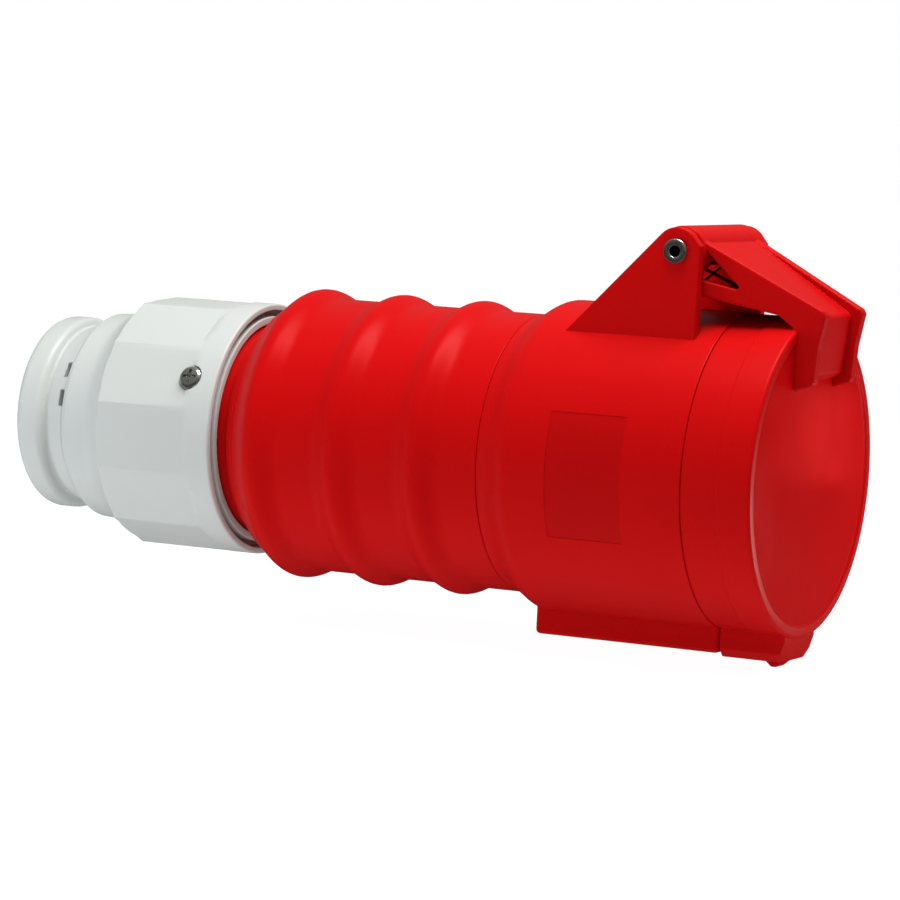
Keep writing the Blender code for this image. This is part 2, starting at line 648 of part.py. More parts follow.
def build_arm_webs():
    """Upper web sunk between the arms, and the lower bar that the spring presses on."""
    rear, front, slope = arm_line()
    half = BARREL_HALF - ARM_T

    def under(x, drop):
        return x, rear[1] + slope * (x - rear[0]) - drop

    inside = lid_face_x - LID_FACE_T / 2 - LID_FIELD_DEPTH / 2
    turn_x = lid_face_x + ARM_REACH - 2.6 * MM
    foot_z = head_r - ARM_FOOT + 2 * MM
    sheet = [under(rear[0], WEB_DROP), under(pin_x + EAR_FRONT, WEB_DROP), under(turn_x, WEB_SINK),
             (turn_x - 0.9 * MM, head_r - 6.5 * MM), (turn_x - 1.6 * MM, foot_z + 1.5 * MM),
             (lid_face_x - 0.4 * MM, foot_z), (inside, foot_z), (inside, head_r - 3 * MM),
             under(inside, WEB_SINK + WEB_PLATE), under(rear[0], WEB_DROP + WEB_PLATE)]
    reach = ARM_SPLAY * (lid_face_x - pin_x)
    wide = half + 0.5 * MM
    narrow = half - reach + 0.5 * MM
    web = plate("arm_web", [sheet], 2 * wide, place=side_place(0))
    bar_low = head_r + 0.5 * MM
    bar_front = lid_face_x - BAR_SETBACK
    bar_rear = pin_x + EAR_FRONT
    strip = [(bar_front, bar_low + 0.2 * MM), (bar_front, bar_low + BAR_T),
             (bar_rear, bar_low + BAR_T + BAR_RISE), (bar_rear, bar_low + BAR_RISE + 0.2 * MM)]
    bar = plate("arm_bar", [strip], 2 * wide, place=side_place(0))
    front_x = lid_face_x + ARM_REACH
    back_x = pin_x - BARREL_R
    outline = [(back_x, -wide), (pin_x + 2 * MM, -wide), (front_x, -narrow), (front_x, narrow),
               (pin_x + 2 * MM, wide), (back_x, wide)]
    bound = plate("arm_bound", [outline], 60 * MM,
                  place=Matrix.Translation((0, 0, head_r)))
    combine(web, bound, "INTERSECT")
    combine(bar, bound, "INTERSECT")
    return web, bar


def build_lid_gasket():
    """Flat ring in the lid that meets the collar's rim."""
    outer = skirt_bore - FIT
    inner = outer - GASKET_W + FIT
    front = gasket_rear_x + GASKET_T
    profile = [(front, outer), (gasket_rear_x, outer), (gasket_rear_x, inner), (front, inner)]
    return turned("lid_gasket", profile, "rubber")


def build_hinge_pin():
    """Tubular rivet through the ears, with a rolled head at each end."""
    seat = ear_outer + PIN_SEAT
    end = seat + PIN_HEAD_T
    lip = 0.25 * MM
    profile = [(end, PIN_HOLE_R), (end, PIN_HEAD_R - lip), (end - lip, PIN_HEAD_R),
               (seat, PIN_HEAD_R), (seat, PIN_R), (-seat, PIN_R), (-seat, PIN_HEAD_R),
               (lip - end, PIN_HEAD_R), (-end, PIN_HEAD_R - lip), (-end, PIN_HOLE_R)]
    place = Matrix.Translation((pin_x, 0, pin_z)) @ axis_y
    return turned("hinge_pin", profile, "steel", SMALL_STEPS, place)


def build_lid_spring():
    """Torsion spring round the pin: one leg on the lid's lower bar, one on the head."""
    bar_top = head_r + 0.5 * MM + BAR_T
    bar_rear = pin_x + EAR_FRONT
    bar_slope = BAR_RISE / (lid_face_x - BAR_SETBACK - bar_rear)
    tip_x = bar_rear + SPRING_REACH
    tip_z = bar_top + BAR_RISE - bar_slope * SPRING_REACH + WIRE_R + FIT
    points = [(tip_x, -COIL_HALF, tip_z)]
    first = math.radians(246)
    sweep = 2 * math.pi * COIL_TURNS - math.radians(30)
    count = COIL_TURNS * COIL_POINTS
    for index in range(count + 1):
        share = index / count
        angle = first - sweep * share
        points.append((pin_x + COIL_R * math.cos(angle), COIL_HALF * (2 * share - 1),
                       pin_z + COIL_R * math.sin(angle)))
    rest_z = math.sqrt(head_r ** 2 - COIL_HALF ** 2) + WIRE_R + FIT
    points.append((pin_x - SPRING_TAIL, COIL_HALF, rest_z))
    curve = bpy.data.curves.new("lid_spring", "CURVE")
    curve.dimensions = "3D"
    curve.bevel_depth = WIRE_R
    curve.bevel_resolution = 2
    curve.use_fill_caps = True
    spline = curve.splines.new("POLY")
    spline.points.add(len(points) - 1)
    for target, point in zip(spline.points, points):
        target.co = (*point, 1.0)
    spring = bpy.data.objects.new("lid_spring", curve)
    PARTS.objects.link(spring)
    colour, roughness, metallic = LOOKS["steel"]
    curve.materials.append(make_material("lid_spring_material", colour, roughness, metallic))
    return spring


def contact_sizes(name):
    """Pin radius, sleeve bore and sleeve radius of a contact."""
    pin_radius = EARTH_PIN_R if name == "contact_earth" else LINE_PIN_R
    bore = pin_radius + SLEEVE_INNER_PLAY
    return pin_radius, bore, bore + SLEEVE_WALL


def at_contact(name):
    """Placement of a turned piece on a contact's axis."""
    y, z = around(CONTACT_DEGS[name], contact_circle_r)
    return Matrix.Translation((0, y, z)) @ axis_x


def build_contact_carrier():
    """Round insert: face plate, outer wall, flange, a tower round each contact, bosses."""
    profile = [(0.0, 0.0), (0.0, CARRIER_R - 0.6 * MM), (-0.6 * MM, CARRIER_R),
               (flange_front_x, CARRIER_R), (flange_front_x, tongue_r),
               (flange_rear_x, tongue_r), (flange_rear_x, CARRIER_R - CARRIER_WALL),
               (-CARRIER_FACE_T, CARRIER_R - CARRIER_WALL), (-CARRIER_FACE_T, 0.0)]
    carrier = turned("contact_carrier", profile, "dark_plastic")
    inside = -CARRIER_FACE_T / 2
    holes = []
    for name in CONTACT_DEGS:
        pin_radius, _, sleeve_r = contact_sizes(name)
        y, z = around(CONTACT_DEGS[name], contact_circle_r)
        tower_r = sleeve_r + FIT + TOWER_WALL
        join(carrier, rod(f"tower_{name}", (inside, y, z), (flange_rear_x, y, z), tower_r))
        entry = pin_radius + PIN_HOLE_PLAY
        room = sleeve_r + FIT
        hole_profile = [(1 * MM, 0.0), (1 * MM, entry + ENTRY_CHAMFER),
                        (0.0, entry + ENTRY_CHAMFER), (-ENTRY_CHAMFER, entry),
                        (-ENTRY_T, entry), (-ENTRY_T, room), (flange_rear_x - 1 * MM, room),
                        (flange_rear_x - 1 * MM, 0.0)]
        holes.append(turned(f"hole_{name}", hole_profile, None, SMALL_STEPS, at_contact(name)))
    for degrees in BOSS_DEGS:
        y, z = around(degrees, boss_circle_r)
        join(carrier, rod(f"boss_{degrees}", (inside, y, z), (flange_rear_x, y, z), BOSS_R, steps=12))
        holes.append(rod(f"pilot_{degrees}", (flange_rear_x + CARRIER_SCREW_BITE + 1 * MM, y, z),
                         (flange_rear_x - 1 * MM, y, z), CARRIER_SCREW_R + FIT, steps=12))
    cut(carrier, *holes)
    return carrier


def build_carrier_back():
    """Disc that closes the carrier from behind and holds the contacts in."""
    profile = [(plate_front_x, 0.0), (plate_front_x, tongue_r), (plate_rear_x, tongue_r),
               (plate_rear_x, 0.0)]
    back = turned("carrier_back", profile, "dark_plastic")
    for name in CONTACT_DEGS:
        _, _, sleeve_r = contact_sizes(name)
        y, z = around(CONTACT_DEGS[name], contact_circle_r)
        cut(back, rod(f"plate_{name}", (plate_front_x + 1 * MM, y, z),
                      (plate_rear_x - 1 * MM, y, z), sleeve_r + FIT))
    for degrees in BOSS_DEGS:
        y, z = around(degrees, boss_circle_r)
        cut(back, rod(f"plate_hole_{degrees}", (plate_front_x + 1 * MM, y, z),
                      (plate_rear_x - 1 * MM, y, z), CARRIER_SCREW_R + FIT, steps=12))
    return back


def build_contacts():
    """Five brass sleeves with a terminal block behind each, and their clamp screws."""
    pieces = []
    front = -ENTRY_T - FIT
    block_front = plate_rear_x - FIT
    block_rear = block_front - TERMINAL_LEN
    screw_x = block_front - TERMINAL_SCREW_AT
    for name, degrees in CONTACT_DEGS.items():
        _, bore, sleeve_r = contact_sizes(name)
        block_r = sleeve_r + TERMINAL_STEP
        profile = [(front - SLEEVE_LEN, 0.0), (front - SLEEVE_LEN, bore), (front, bore),
                   (front, sleeve_r), (block_front, sleeve_r), (block_front, block_r),
                   (block_rear, block_r), (block_rear, WIRE_HOLE_R),
                   (block_rear + WIRE_HOLE_DEPTH, WIRE_HOLE_R),
                   (block_rear + WIRE_HOLE_DEPTH, 0.0)]
        contact = turned(name, profile, "brass", SMALL_STEPS, at_contact(name))
        y, z = around(degrees, 1.0)
        outer = contact_circle_r + block_r
        seat = Vector((screw_x, y * (outer + FIT), z * (outer + FIT)))
        tip = contact_circle_r + WIRE_HOLE_R * 0.4
        hole = rod(f"{name}_cross", (screw_x, y * contact_circle_r, z * contact_circle_r),
                   (screw_x, y * (outer + 2 * MM), z * (outer + 2 * MM)),
                   TERMINAL_SCREW_R + FIT, steps=12)
        cut(contact, hole)
        number = name.split("_")[1]
        screw = screw_piece(f"terminal_screw_{number}", seat, (0, y, z), TERMINAL_SCREW_R,
                            outer + FIT - tip, TERMINAL_SCREW_HEAD_R, TERMINAL_SCREW_HEAD_T)
        pieces += [contact, screw]
    for index, degrees in enumerate(BOSS_DEGS, 1):
        y, z = around(degrees, boss_circle_r)
        pieces.append(screw_piece(f"carrier_screw_{index}", (plate_rear_x - FIT, y, z), (-1, 0, 0),
                                  CARRIER_SCREW_R, BACK_PLATE_T + 2 * FIT + CARRIER_SCREW_BITE,
                                  CARRIER_SCREW_HEAD_R, CARRIER_SCREW_HEAD_T))
    return pieces


def build_rear_handle():
    """Tongue, ribbed grip, stepped end and the neck that the gland nut turns on."""
    groove = tongue_front_x - SEAL_GROOVE_AT
    floor = tongue_r - SEAL_GROOVE_DEPTH
    profile = [(tongue_front_x, tongue_r - 0.5 * MM), (tongue_front_x - 0.5 * MM, tongue_r),
               (groove, tongue_r), (groove, floor), (groove - SEAL_GROOVE_W, floor),
               (groove - SEAL_GROOVE_W, tongue_r), (grip_front_x, tongue_r),
               (grip_front_x, grip_r)]
    for rib in range(RIB_COUNT):
        crest = grip_front_x - FIRST_RIB - rib * RIB_PITCH
        last = rib == RIB_COUNT - 1
        for share in (1.0, 0.5, 0.0, -0.5, -1.0):
            rise = RIB_RISE * (1 + math.cos(math.pi * share)) / 2
            drop = GRIP_END_DROP * share ** 2 if last and share < 0 else 0.0
            profile.append((crest + share * RIB_HALF, grip_r + rise - drop))
    end_r = grip_r - GRIP_END_DROP
    for step in range(NECK_STEPS):
        x = grip_rear_x - step * NECK_STEP_LEN
        following = end_r - (end_r - NECK_R) * (step + 1) / NECK_STEPS
        profile += [(x, end_r - (end_r - NECK_R) * step / NECK_STEPS), (x, following)]
    profile += [(neck_rear_x + 0.8 * MM, NECK_R), (neck_rear_x, NECK_R - 0.8 * MM),
                (neck_rear_x, neck_bore), (ledge_x, neck_bore),
                (ledge_x, neck_bore - NECK_LEDGE), (grip_rear_x - 2 * MM, neck_bore - NECK_LEDGE),
                (last_rib_x, grip_bore), (grip_front_x - 5 * MM, grip_bore),
                (grip_front_x - 2 * MM, tongue_bore), (tongue_front_x, tongue_bore)]
    return turned("rear_handle", profile, "red_plastic")


def build_housing_seal():
    """Rubber ring in the tongue's groove."""
    centre = tongue_front_x - SEAL_GROOVE_AT - SEAL_GROOVE_W / 2
    middle = tongue_r - SEAL_R
    profile = []
    for index in range(6):
        angle = math.radians(60 * index)
        profile.append((centre + SEAL_R * math.cos(angle), middle + SEAL_R * math.sin(angle)))
    return turned("housing_seal", profile, "rubber")


def build_gland_nut():
    """Cap nut: round front rim, twelve flats, curved shoulder and a plain rear body."""
    lip = nut_thread_r + (NUT_WALL - NUT_MOUTH_W) * 0.55
    front = nut_front_x
    curve = []
    for index in range(1, 5):
        share = index / 4
        radius = nut_flat_r - (nut_flat_r - NUT_BODY_R) * math.sin(share * math.pi / 2)
        curve.append((nut_grip_end_x - share * NUT_CURVE_LEN, radius))
    profile = [(front, nut_r - NUT_RIM_EDGE), (front - NUT_RIM_EDGE, nut_r),
               (nut_grip_end_x + 0.5 * MM, nut_r), (nut_grip_end_x, nut_flat_r), *curve,
               (nut_rear_x + NUT_TAIL_EDGE, NUT_BODY_R - 0.3 * MM),
               (nut_rear_x, NUT_BODY_R - NUT_TAIL_EDGE), (nut_rear_x, nut_mouth_r),
               (nut_shoulder_x, nut_mouth_r), (nut_shoulder_x, nut_bore),
               (front - NUT_THREAD_LEN - NUT_CONE_LEN, nut_bore),
               (front - NUT_THREAD_LEN, nut_thread_r), (front, nut_thread_r), (front, lip),
               (front - NUT_MOUTH_DEPTH, lip), (front - NUT_MOUTH_DEPTH, lip + NUT_MOUTH_W),
               (front, lip + NUT_MOUTH_W)]
    nut = turned("gland_nut", profile, "grey_plastic", NUT_STEPS)
    corner = nut_flat_r / math.cos(math.pi / NUT_FLATS)
    open_r = (nut_r + 0.5 * MM) / math.cos(math.pi / NUT_FLATS)
    ramp = front - NUT_RIM_LEN
    flats = [(front + 2 * MM, 0.0), (front + 2 * MM, open_r), (ramp, open_r),
             (ramp - NUT_RAMP_LEN, corner), (nut_rear_x - 2 * MM, corner),
             (nut_rear_x - 2 * MM, 0.0)]
    half_flat = math.pi / NUT_FLATS
    turn = Matrix.Rotation(half_flat - math.radians(LOCK_SCREW_DEG), 4, "X")
    combine(nut, turned("nut_flats", flats, None, NUT_FLATS, turn @ axis_x), "INTERSECT")
    x, y, z = lock_screw_axis()
    floor = nut_flat_r - LOCK_SCREW_SINK
    top = nut_r + OVERCUT
    spot = rod("lock_screw_spot", (x, y * floor, z * floor), (x, y * top, z * top),
               LOCK_SCREW_HEAD_R + FIT)
    start = nut_thread_r * 0.95
    hole = rod("lock_screw_hole", (x, y * start, z * start), (x, y * top, z * top),
               LOCK_SCREW_R + FIT, steps=12)
    cut(nut, spot, hole)
    return nut


def lock_screw_axis():
    """Station of the lock screw and the direction it points out along."""
    y, z = around(180 - LOCK_SCREW_DEG, 1.0)
    return nut_front_x - LOCK_SCREW_AT, y, z


def build_nut_lock_screw():
    """Small pan head screw that keeps the gland nut from working loose."""
    x, y, z = lock_screw_axis()
    seat_r = nut_flat_r - LOCK_SCREW_SINK + FIT
    length = seat_r - nut_thread_r
    return screw_piece("nut_lock_screw", (x, y * seat_r, z * seat_r), (0, y, z), LOCK_SCREW_R,
                       length, LOCK_SCREW_HEAD_R, LOCK_SCREW_HEAD_T)


def build_gland_bell():
    """Flared ring caught in the nut's rear wall, with a cone, a waist and a round flange."""
    catch_rear = nut_shoulder_x + FIT
    catch_front = catch_rear + BELL_CATCH_LEN
    rear = bell_rear_x
    profile = [(catch_front, bell_neck_r + BELL_CATCH * 0.4),
               (catch_rear, bell_neck_r + BELL_CATCH), (catch_rear, bell_neck_r),
               (bell_root_x, bell_neck_r), (bell_root_x, bell_root_r),
               (bell_waist_x, bell_waist_r)]
    for share, rise in ((0.1, 0.55), (0.24, 1.0), (0.62, 1.0), (0.86, 0.7)):
        profile.append((bell_waist_x - share * BELL_FLANGE_LEN,
                        bell_waist_r + rise * BELL_FLANGE_RISE))
    profile += [(rear, bell_waist_r), (rear, bell_waist_r - BELL_LIP_W),
                (rear + 4 * MM, BELL_BORE_R + 1.2 * MM), (rear + 9 * MM, BELL_BORE_R),
                (catch_front, BELL_BORE_R)]
    bell = turned("gland_bell", profile, "grey_plastic", NUT_STEPS)
    for index, degrees in enumerate(SLOT_DEGS):
        y, z = around(180 - degrees, 1.0)
        x = bell_root_x - SLOT_BEHIND
        slot = block(f"bell_slot_{index}", (-SLOT_W / 2, -SLOT_LEN / 2, -SLOT_DEPTH),
                     (SLOT_W / 2, SLOT_LEN / 2, SLOT_DEPTH))
        turn = Matrix.Rotation(math.radians(90 - degrees), 4, "X")
        place = Matrix.Translation((x, y * bell_root_r, z * bell_root_r)) @ turn
        slot.matrix_world = place @ slot.matrix_basis
        cut(bell, slot)
    return bell


def build_gland_inside():
    """Cable seal, thrust washer and slotted clamp collet."""
    chamfer = 0.8 * MM
    seal = turned("cable_seal", [
        (cable_seal_front_x, seal_r - chamfer), (cable_seal_front_x - chamfer, seal_r),
        (cable_seal_rear_x + chamfer, seal_r), (cable_seal_rear_x, seal_r - chamfer),
        (cable_seal_rear_x, CABLE_R + chamfer), (cable_seal_rear_x + chamfer, CABLE_R),
        (cable_seal_front_x - chamfer, CABLE_R), (cable_seal_front_x, CABLE_R + chamfer)],
        "rubber", NUT_STEPS)
    hole = CABLE_R + 1.5 * MM
    washer = turned("thrust_washer", [
        (washer_front_x, seal_r), (washer_rear_x, seal_r), (washer_rear_x, hole),
        (washer_front_x, hole)], "white_plastic", NUT_STEPS)
    outer = nut_bore - FIT
    collet = turned("clamp_collet", [
        (collet_front_x, outer - 0.4 * MM), (collet_front_x - 0.4 * MM, outer),
        (collet_rear_x + COLLET_TAPER_LEN, outer), (collet_rear_x, outer - COLLET_TAPER),
        (collet_rear_x, hole + COLLET_FLARE), (collet_rear_x + COLLET_TAPER_LEN, hole),
        (collet_front_x, hole)], "white_plastic", NUT_STEPS)
    half = COLLET_SLOT / 2
    for index in range(3):
        slot = block(f"collet_slot_{index}", (collet_rear_x - 1 * MM, -outer - 1 * MM, -half),
                     (collet_front_x - 4 * MM, outer + 1 * MM, half))
        slot.matrix_world = Matrix.Rotation(math.radians(60 * index + 30), 4, "X") @ slot.matrix_basis
        cut(collet, slot)
    return seal, washer, collet


def hang_on_empty(name, point, *pieces):
    """Parent moving pieces to an empty on their joint's axis."""
    pivot = bpy.data.objects.new(name, None)
    pivot.location = point
    PARTS.objects.link(pivot)
    bpy.context.view_layer.update()
    for piece in pieces:
        piece.parent = pivot
        piece.matrix_parent_inverse = pivot.matrix_world.inverted()
    return pivot


def main():
    """Build every piece and hang the moving ones on their axes."""
    build_front_housing()
    build_rear_handle()
    build_housing_seal()
    build_contact_carrier()
    build_carrier_back()
    build_contacts()
    build_hinge_pin()
    build_lid_spring()
    lid = build_lid()
    gasket = build_lid_gasket()
    nut = build_gland_nut()
    bell = build_gland_bell()
    lock_screw = build_nut_lock_screw()
    _, _, collet = build_gland_inside()
    for piece in PARTS.objects:
        if piece.type == "MESH":
            piece.modifiers.new("normals", "WEIGHTED_NORMAL")
    hang_on_empty("lid_axis", (pin_x, 0, pin_z), lid, gasket)
    hang_on_empty("gland_axis", (nut_front_x, 0, 0), nut, bell, lock_screw, collet)


main()
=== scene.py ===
"""Looks of the industrial cable socket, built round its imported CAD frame.

Shapes are written in millimetres in the frame of the CAD model: +X runs along the socket
out of its lid end, +Z is the hinge side, and the origin is the middle of the contact face.
"""

from __future__ import annotations

import json
import logging
import math
from dataclasses import dataclass
from enum import Enum
from typing import Any, Sequence

import bmesh
import bpy
from mathutils import Matrix, Vector

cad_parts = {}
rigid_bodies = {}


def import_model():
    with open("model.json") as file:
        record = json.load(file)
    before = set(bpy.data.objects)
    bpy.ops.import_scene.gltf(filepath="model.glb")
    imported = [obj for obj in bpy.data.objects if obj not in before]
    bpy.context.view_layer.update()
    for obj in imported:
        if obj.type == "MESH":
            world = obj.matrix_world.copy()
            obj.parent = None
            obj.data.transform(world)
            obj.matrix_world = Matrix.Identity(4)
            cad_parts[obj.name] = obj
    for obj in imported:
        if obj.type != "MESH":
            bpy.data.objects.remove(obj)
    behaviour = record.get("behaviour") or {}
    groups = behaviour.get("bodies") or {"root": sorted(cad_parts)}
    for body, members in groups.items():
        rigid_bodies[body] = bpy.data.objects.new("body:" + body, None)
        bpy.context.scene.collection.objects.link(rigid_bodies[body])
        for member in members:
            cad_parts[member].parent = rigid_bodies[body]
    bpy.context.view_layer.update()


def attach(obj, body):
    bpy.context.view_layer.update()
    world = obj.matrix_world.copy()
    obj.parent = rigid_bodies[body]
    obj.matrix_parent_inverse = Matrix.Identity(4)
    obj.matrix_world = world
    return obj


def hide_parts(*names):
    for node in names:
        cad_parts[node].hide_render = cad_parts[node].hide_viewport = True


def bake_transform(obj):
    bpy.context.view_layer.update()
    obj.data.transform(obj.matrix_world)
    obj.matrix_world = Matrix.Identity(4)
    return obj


MM = 0.001

# Sizes that several sub-assemblies share, in millimetres
HEAD_R = 36.0
FACE_X = 13.0
PIN_X, PIN_Z, PIN_BORE = -14.3, 49.4, 2.2
EAR_FRONT = 5.6
BAR_RISE = 3.2
RIM_W = 2.8
ARM_SPLAY = 0.125
LABEL_FRONT_X, LABEL_LEN = -17.9, 18.3
GAP = 0.3

# How far a cutter runs past what it cuts, in millimetres
PAST = 1.0

# Faces round the axis of a turned piece, by how wide it is
WIDE, ROUND, RING, SMALL = 160, 144, 96, 48

LOG = logging.getLogger("cable_socket")

Point = tuple[float, float]
Corner = tuple[float, float, float]


class Body(Enum):
    """Bodies of the frame that a piece can ride on."""

    SOCKET = "socket"
    LID = "lid"
    CLAMP = "gland_clamp"
    GLAND = "gland"


class Slot(Enum):
    """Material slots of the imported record."""

    RED = "red_body"
    GREY = "grey_gland"
    BLACK = "black_insert"
    WHITE = "white_inner"
    RUBBER = "black_rubber"
    BRASS = "contact_brass"
    STEEL = "bright_steel"


# Node trees -----------------------------------------------------------------------------


class Graph:
    """Makes the nodes of one tree, for a shader or for geometry."""

    def __init__(self, tree: bpy.types.NodeTree) -> None:
        """Keep the tree that the nodes go into."""
        self.tree = tree

    def node(
        self,
        kind: str,
        settings: dict[str, Any] | None = None,
        values: dict[Any, Any] | None = None,
    ) -> bpy.types.Node:
        """Make one node.

        Args:
            kind: The node's type.
            settings: Properties, set first. A ramp takes its stops as (place, grey) pairs.
            values: Values, terms or links of its inputs, by name or number.

        Returns:
            The new node.
        """
        made = self.tree.nodes.new(kind)
        for name, value in (settings or {}).items():
            if name == "stops":
                ramp = made.color_ramp.elements
                while len(ramp) < len(value):
                    ramp.new(0.5)
                for stop, (place, grey) in zip(ramp, value):
                    stop.position = place
                    stop.color = (grey, grey, grey, 1.0)
            else:
                setattr(made, name, value)
        for key, value in (values or {}).items():
            source = value.socket if isinstance(value, Term) else value
            if isinstance(source, bpy.types.NodeSocket):
                self.tree.links.new(source, made.inputs[key])
            else:
                made.inputs[key].default_value = source
        return made

    def term(self, node: bpy.types.Node, output: int | str = 0) -> Term:
        """Wrap a node's output, so that it can be used in an expression."""
        return Term(self, node.outputs[output])

    def noise(self, place: Term, scale: float, detail: float, roughness: float = 0.5) -> Term:
        """Make a noise pattern.

        Args:
            place: Coordinates that it reads.
            scale: Waves in a metre.
            detail: Finer layers on top of the first.
            roughness: Strength of the finer layers.

        Returns:
            The pattern, from 0 to 1.
        """
        values = {"Vector": place, "Scale": scale, "Detail": detail, "Roughness": roughness}
        return self.term(self.node("ShaderNodeTexNoise", None, values))

    def ramp(self, value: Term, stops: Sequence[Point]) -> Term:
        """Map a value through a ramp of (place, grey) stops."""
        return self.term(self.node("ShaderNodeValToRGB", {"stops": stops}, {"Fac": value}))

    def split(self, vector: bpy.types.NodeSocket) -> tuple[Term, Term, Term]:
        """Split a vector into its three numbers."""
        parts = self.node("ShaderNodeSeparateXYZ", None, {0: vector})
        return self.term(parts, 0), self.term(parts, 1), self.term(parts, 2)


@dataclass(frozen=True)
class Term:
    """A value of a node tree. Its operators add the Math nodes that work it out."""

    graph: Graph
    socket: bpy.types.NodeSocket

    def _math(self, operation: str, *values: Any) -> Term:
        """Add one Math node on these values.

        Args:
            operation: The Math node's operation.
            values: Its numbers, terms or links.

        Returns:
            The node's value.
        """
        made = self.graph.node(
            "ShaderNodeMath", {"operation": operation}, dict(enumerate(values))
        )
        return Term(self.graph, made.outputs[0])

    def __add__(self, other: Any) -> Term:
        """Add."""
        return self._math("ADD", self, other)

    def __radd__(self, other: Any) -> Term:
        """Add, with the number first."""
        return self._math("ADD", other, self)

    def __sub__(self, other: Any) -> Term:
        """Subtract."""
        return self._math("SUBTRACT", self, other)

    def __rsub__(self, other: Any) -> Term:
        """Subtract from a number."""
        return self._math("SUBTRACT", other, self)

    def __mul__(self, other: Any) -> Term:
        """Multiply."""
        return self._math("MULTIPLY", self, other)

    def __rmul__(self, other: Any) -> Term:
        """Multiply, with the number first."""
        return self._math("MULTIPLY", other, self)

    def __truediv__(self, other: Any) -> Term:
        """Divide."""
        return self._math("DIVIDE", self, other)

    def __rtruediv__(self, other: Any) -> Term:
        """Divide a number."""
        return self._math("DIVIDE", other, self)

    def __pow__(self, other: Any) -> Term:
        """Raise to a power."""
        return self._math("POWER", self, other)

    def __abs__(self) -> Term:
        """Size without sign."""
        return self._math("ABSOLUTE", self)

    def __gt__(self, other: Any) -> Term:
        """Give 1 where this is more, and 0 elsewhere."""
        return self._math("GREATER_THAN", self, other)

    def __lt__(self, other: Any) -> Term:
        """Give 1 where this is less, and 0 elsewhere."""
        return self._math("LESS_THAN", self, other)

    def least(self, other: Any) -> Term:
        """Take the lesser of two."""
        return self._math("MINIMUM", self, other)

    def most(self, other: Any) -> Term:
        """Take the greater of two."""
        return self._math("MAXIMUM", self, other)

    def nearest(self) -> Term:
        """Round to a whole number."""
        return self._math("ROUND", self)

    def cosine(self) -> Term:
        """Take the cosine."""
        return self._math("COSINE", self)

    def sine(self) -> Term:
        """Take the sine."""
        return self._math("SINE", self)

    def turned_from(self, other: Term) -> Term:
        """Take the angle of the direction whose parts are (other, self)."""
        return self._math("ARCTAN2", self, other)

    def wrapped(self, half: Any) -> Term:
        """Wrap into the range from minus half to half."""
        return self._math("WRAP", self, half, 0.0 - half)


class RuleTree(Graph):
    """A geometry tree with named inputs for the sizes of one rule."""

    def __init__(self, name: str) -> None:
        """Start a tree that takes a mesh and gives one.

        Args:
            name: The tree's name.
        """
        super().__init__(bpy.data.node_groups.new(name, "GeometryNodeTree"))
        face = self.tree.interface
        face.new_socket("Geometry", in_out="INPUT", socket_type="NodeSocketGeometry")
        face.new_socket("Geometry", in_out="OUTPUT", socket_type="NodeSocketGeometry")
        self.start = self.tree.nodes.new("NodeGroupInput")
        self.end = self.tree.nodes.new("NodeGroupOutput")

    def size(self, name: str) -> Term:
        """Add a named size to the tree's inputs."""
        self.tree.interface.new_socket(name, in_out="INPUT", socket_type="NodeSocketFloat")
        return Term(self, self.start.outputs[name])

    def given(self) -> bpy.types.NodeSocket:
        """Give the geometry that comes in."""
        return self.start.outputs["Geometry"]

    def moved(self, x: Term, y: Term, z: Term) -> bpy.types.NodeSocket:
        """Put each point of the incoming mesh at a new place.

        Args:
            x: The new places along X.
            y: The new places along Y.
            z: The new places along Z.

        Returns:
            The moved mesh.
        """
        place = self.node("ShaderNodeCombineXYZ", None, {0: x, 1: y, 2: z})
        values = {"Geometry": self.given(), "Position": place.outputs[0]}
        return self.node("GeometryNodeSetPosition", None, values).outputs[0]

    def close(self, geometry: bpy.types.NodeSocket, material: bpy.types.Material) -> None:
        """End the tree in plain geometry of one material.

        Args:
            geometry: What the rule made.
            material: What it is made of.
        """
        real = self.node("GeometryNodeRealizeInstances", None, {"Geometry": geometry})
        values = {"Geometry": real.outputs[0], "Material": material}
        dressed = self.node("GeometryNodeSetMaterial", None, values)
        self.tree.links.new(dressed.outputs[0], self.end.inputs["Geometry"])

    def apply(self, form: Form, sizes: dict[str, float]) -> Form:
        """Run the rule on a form and keep what it gives as a plain mesh.

        Args:
            form: The form that comes in.
            sizes: A value for each named input.

        Returns:
            The same form.
        """
        modifier = form.object.modifiers.new(self.tree.name, "NODES")
        modifier.node_group = self.tree
        for item in self.tree.interface.items_tree:
            if item.in_out == "INPUT" and item.name in sizes:
                modifier[item.identifier] = float(sizes[item.name])
        return form.settle()


# Finishes -------------------------------------------------------------------------------


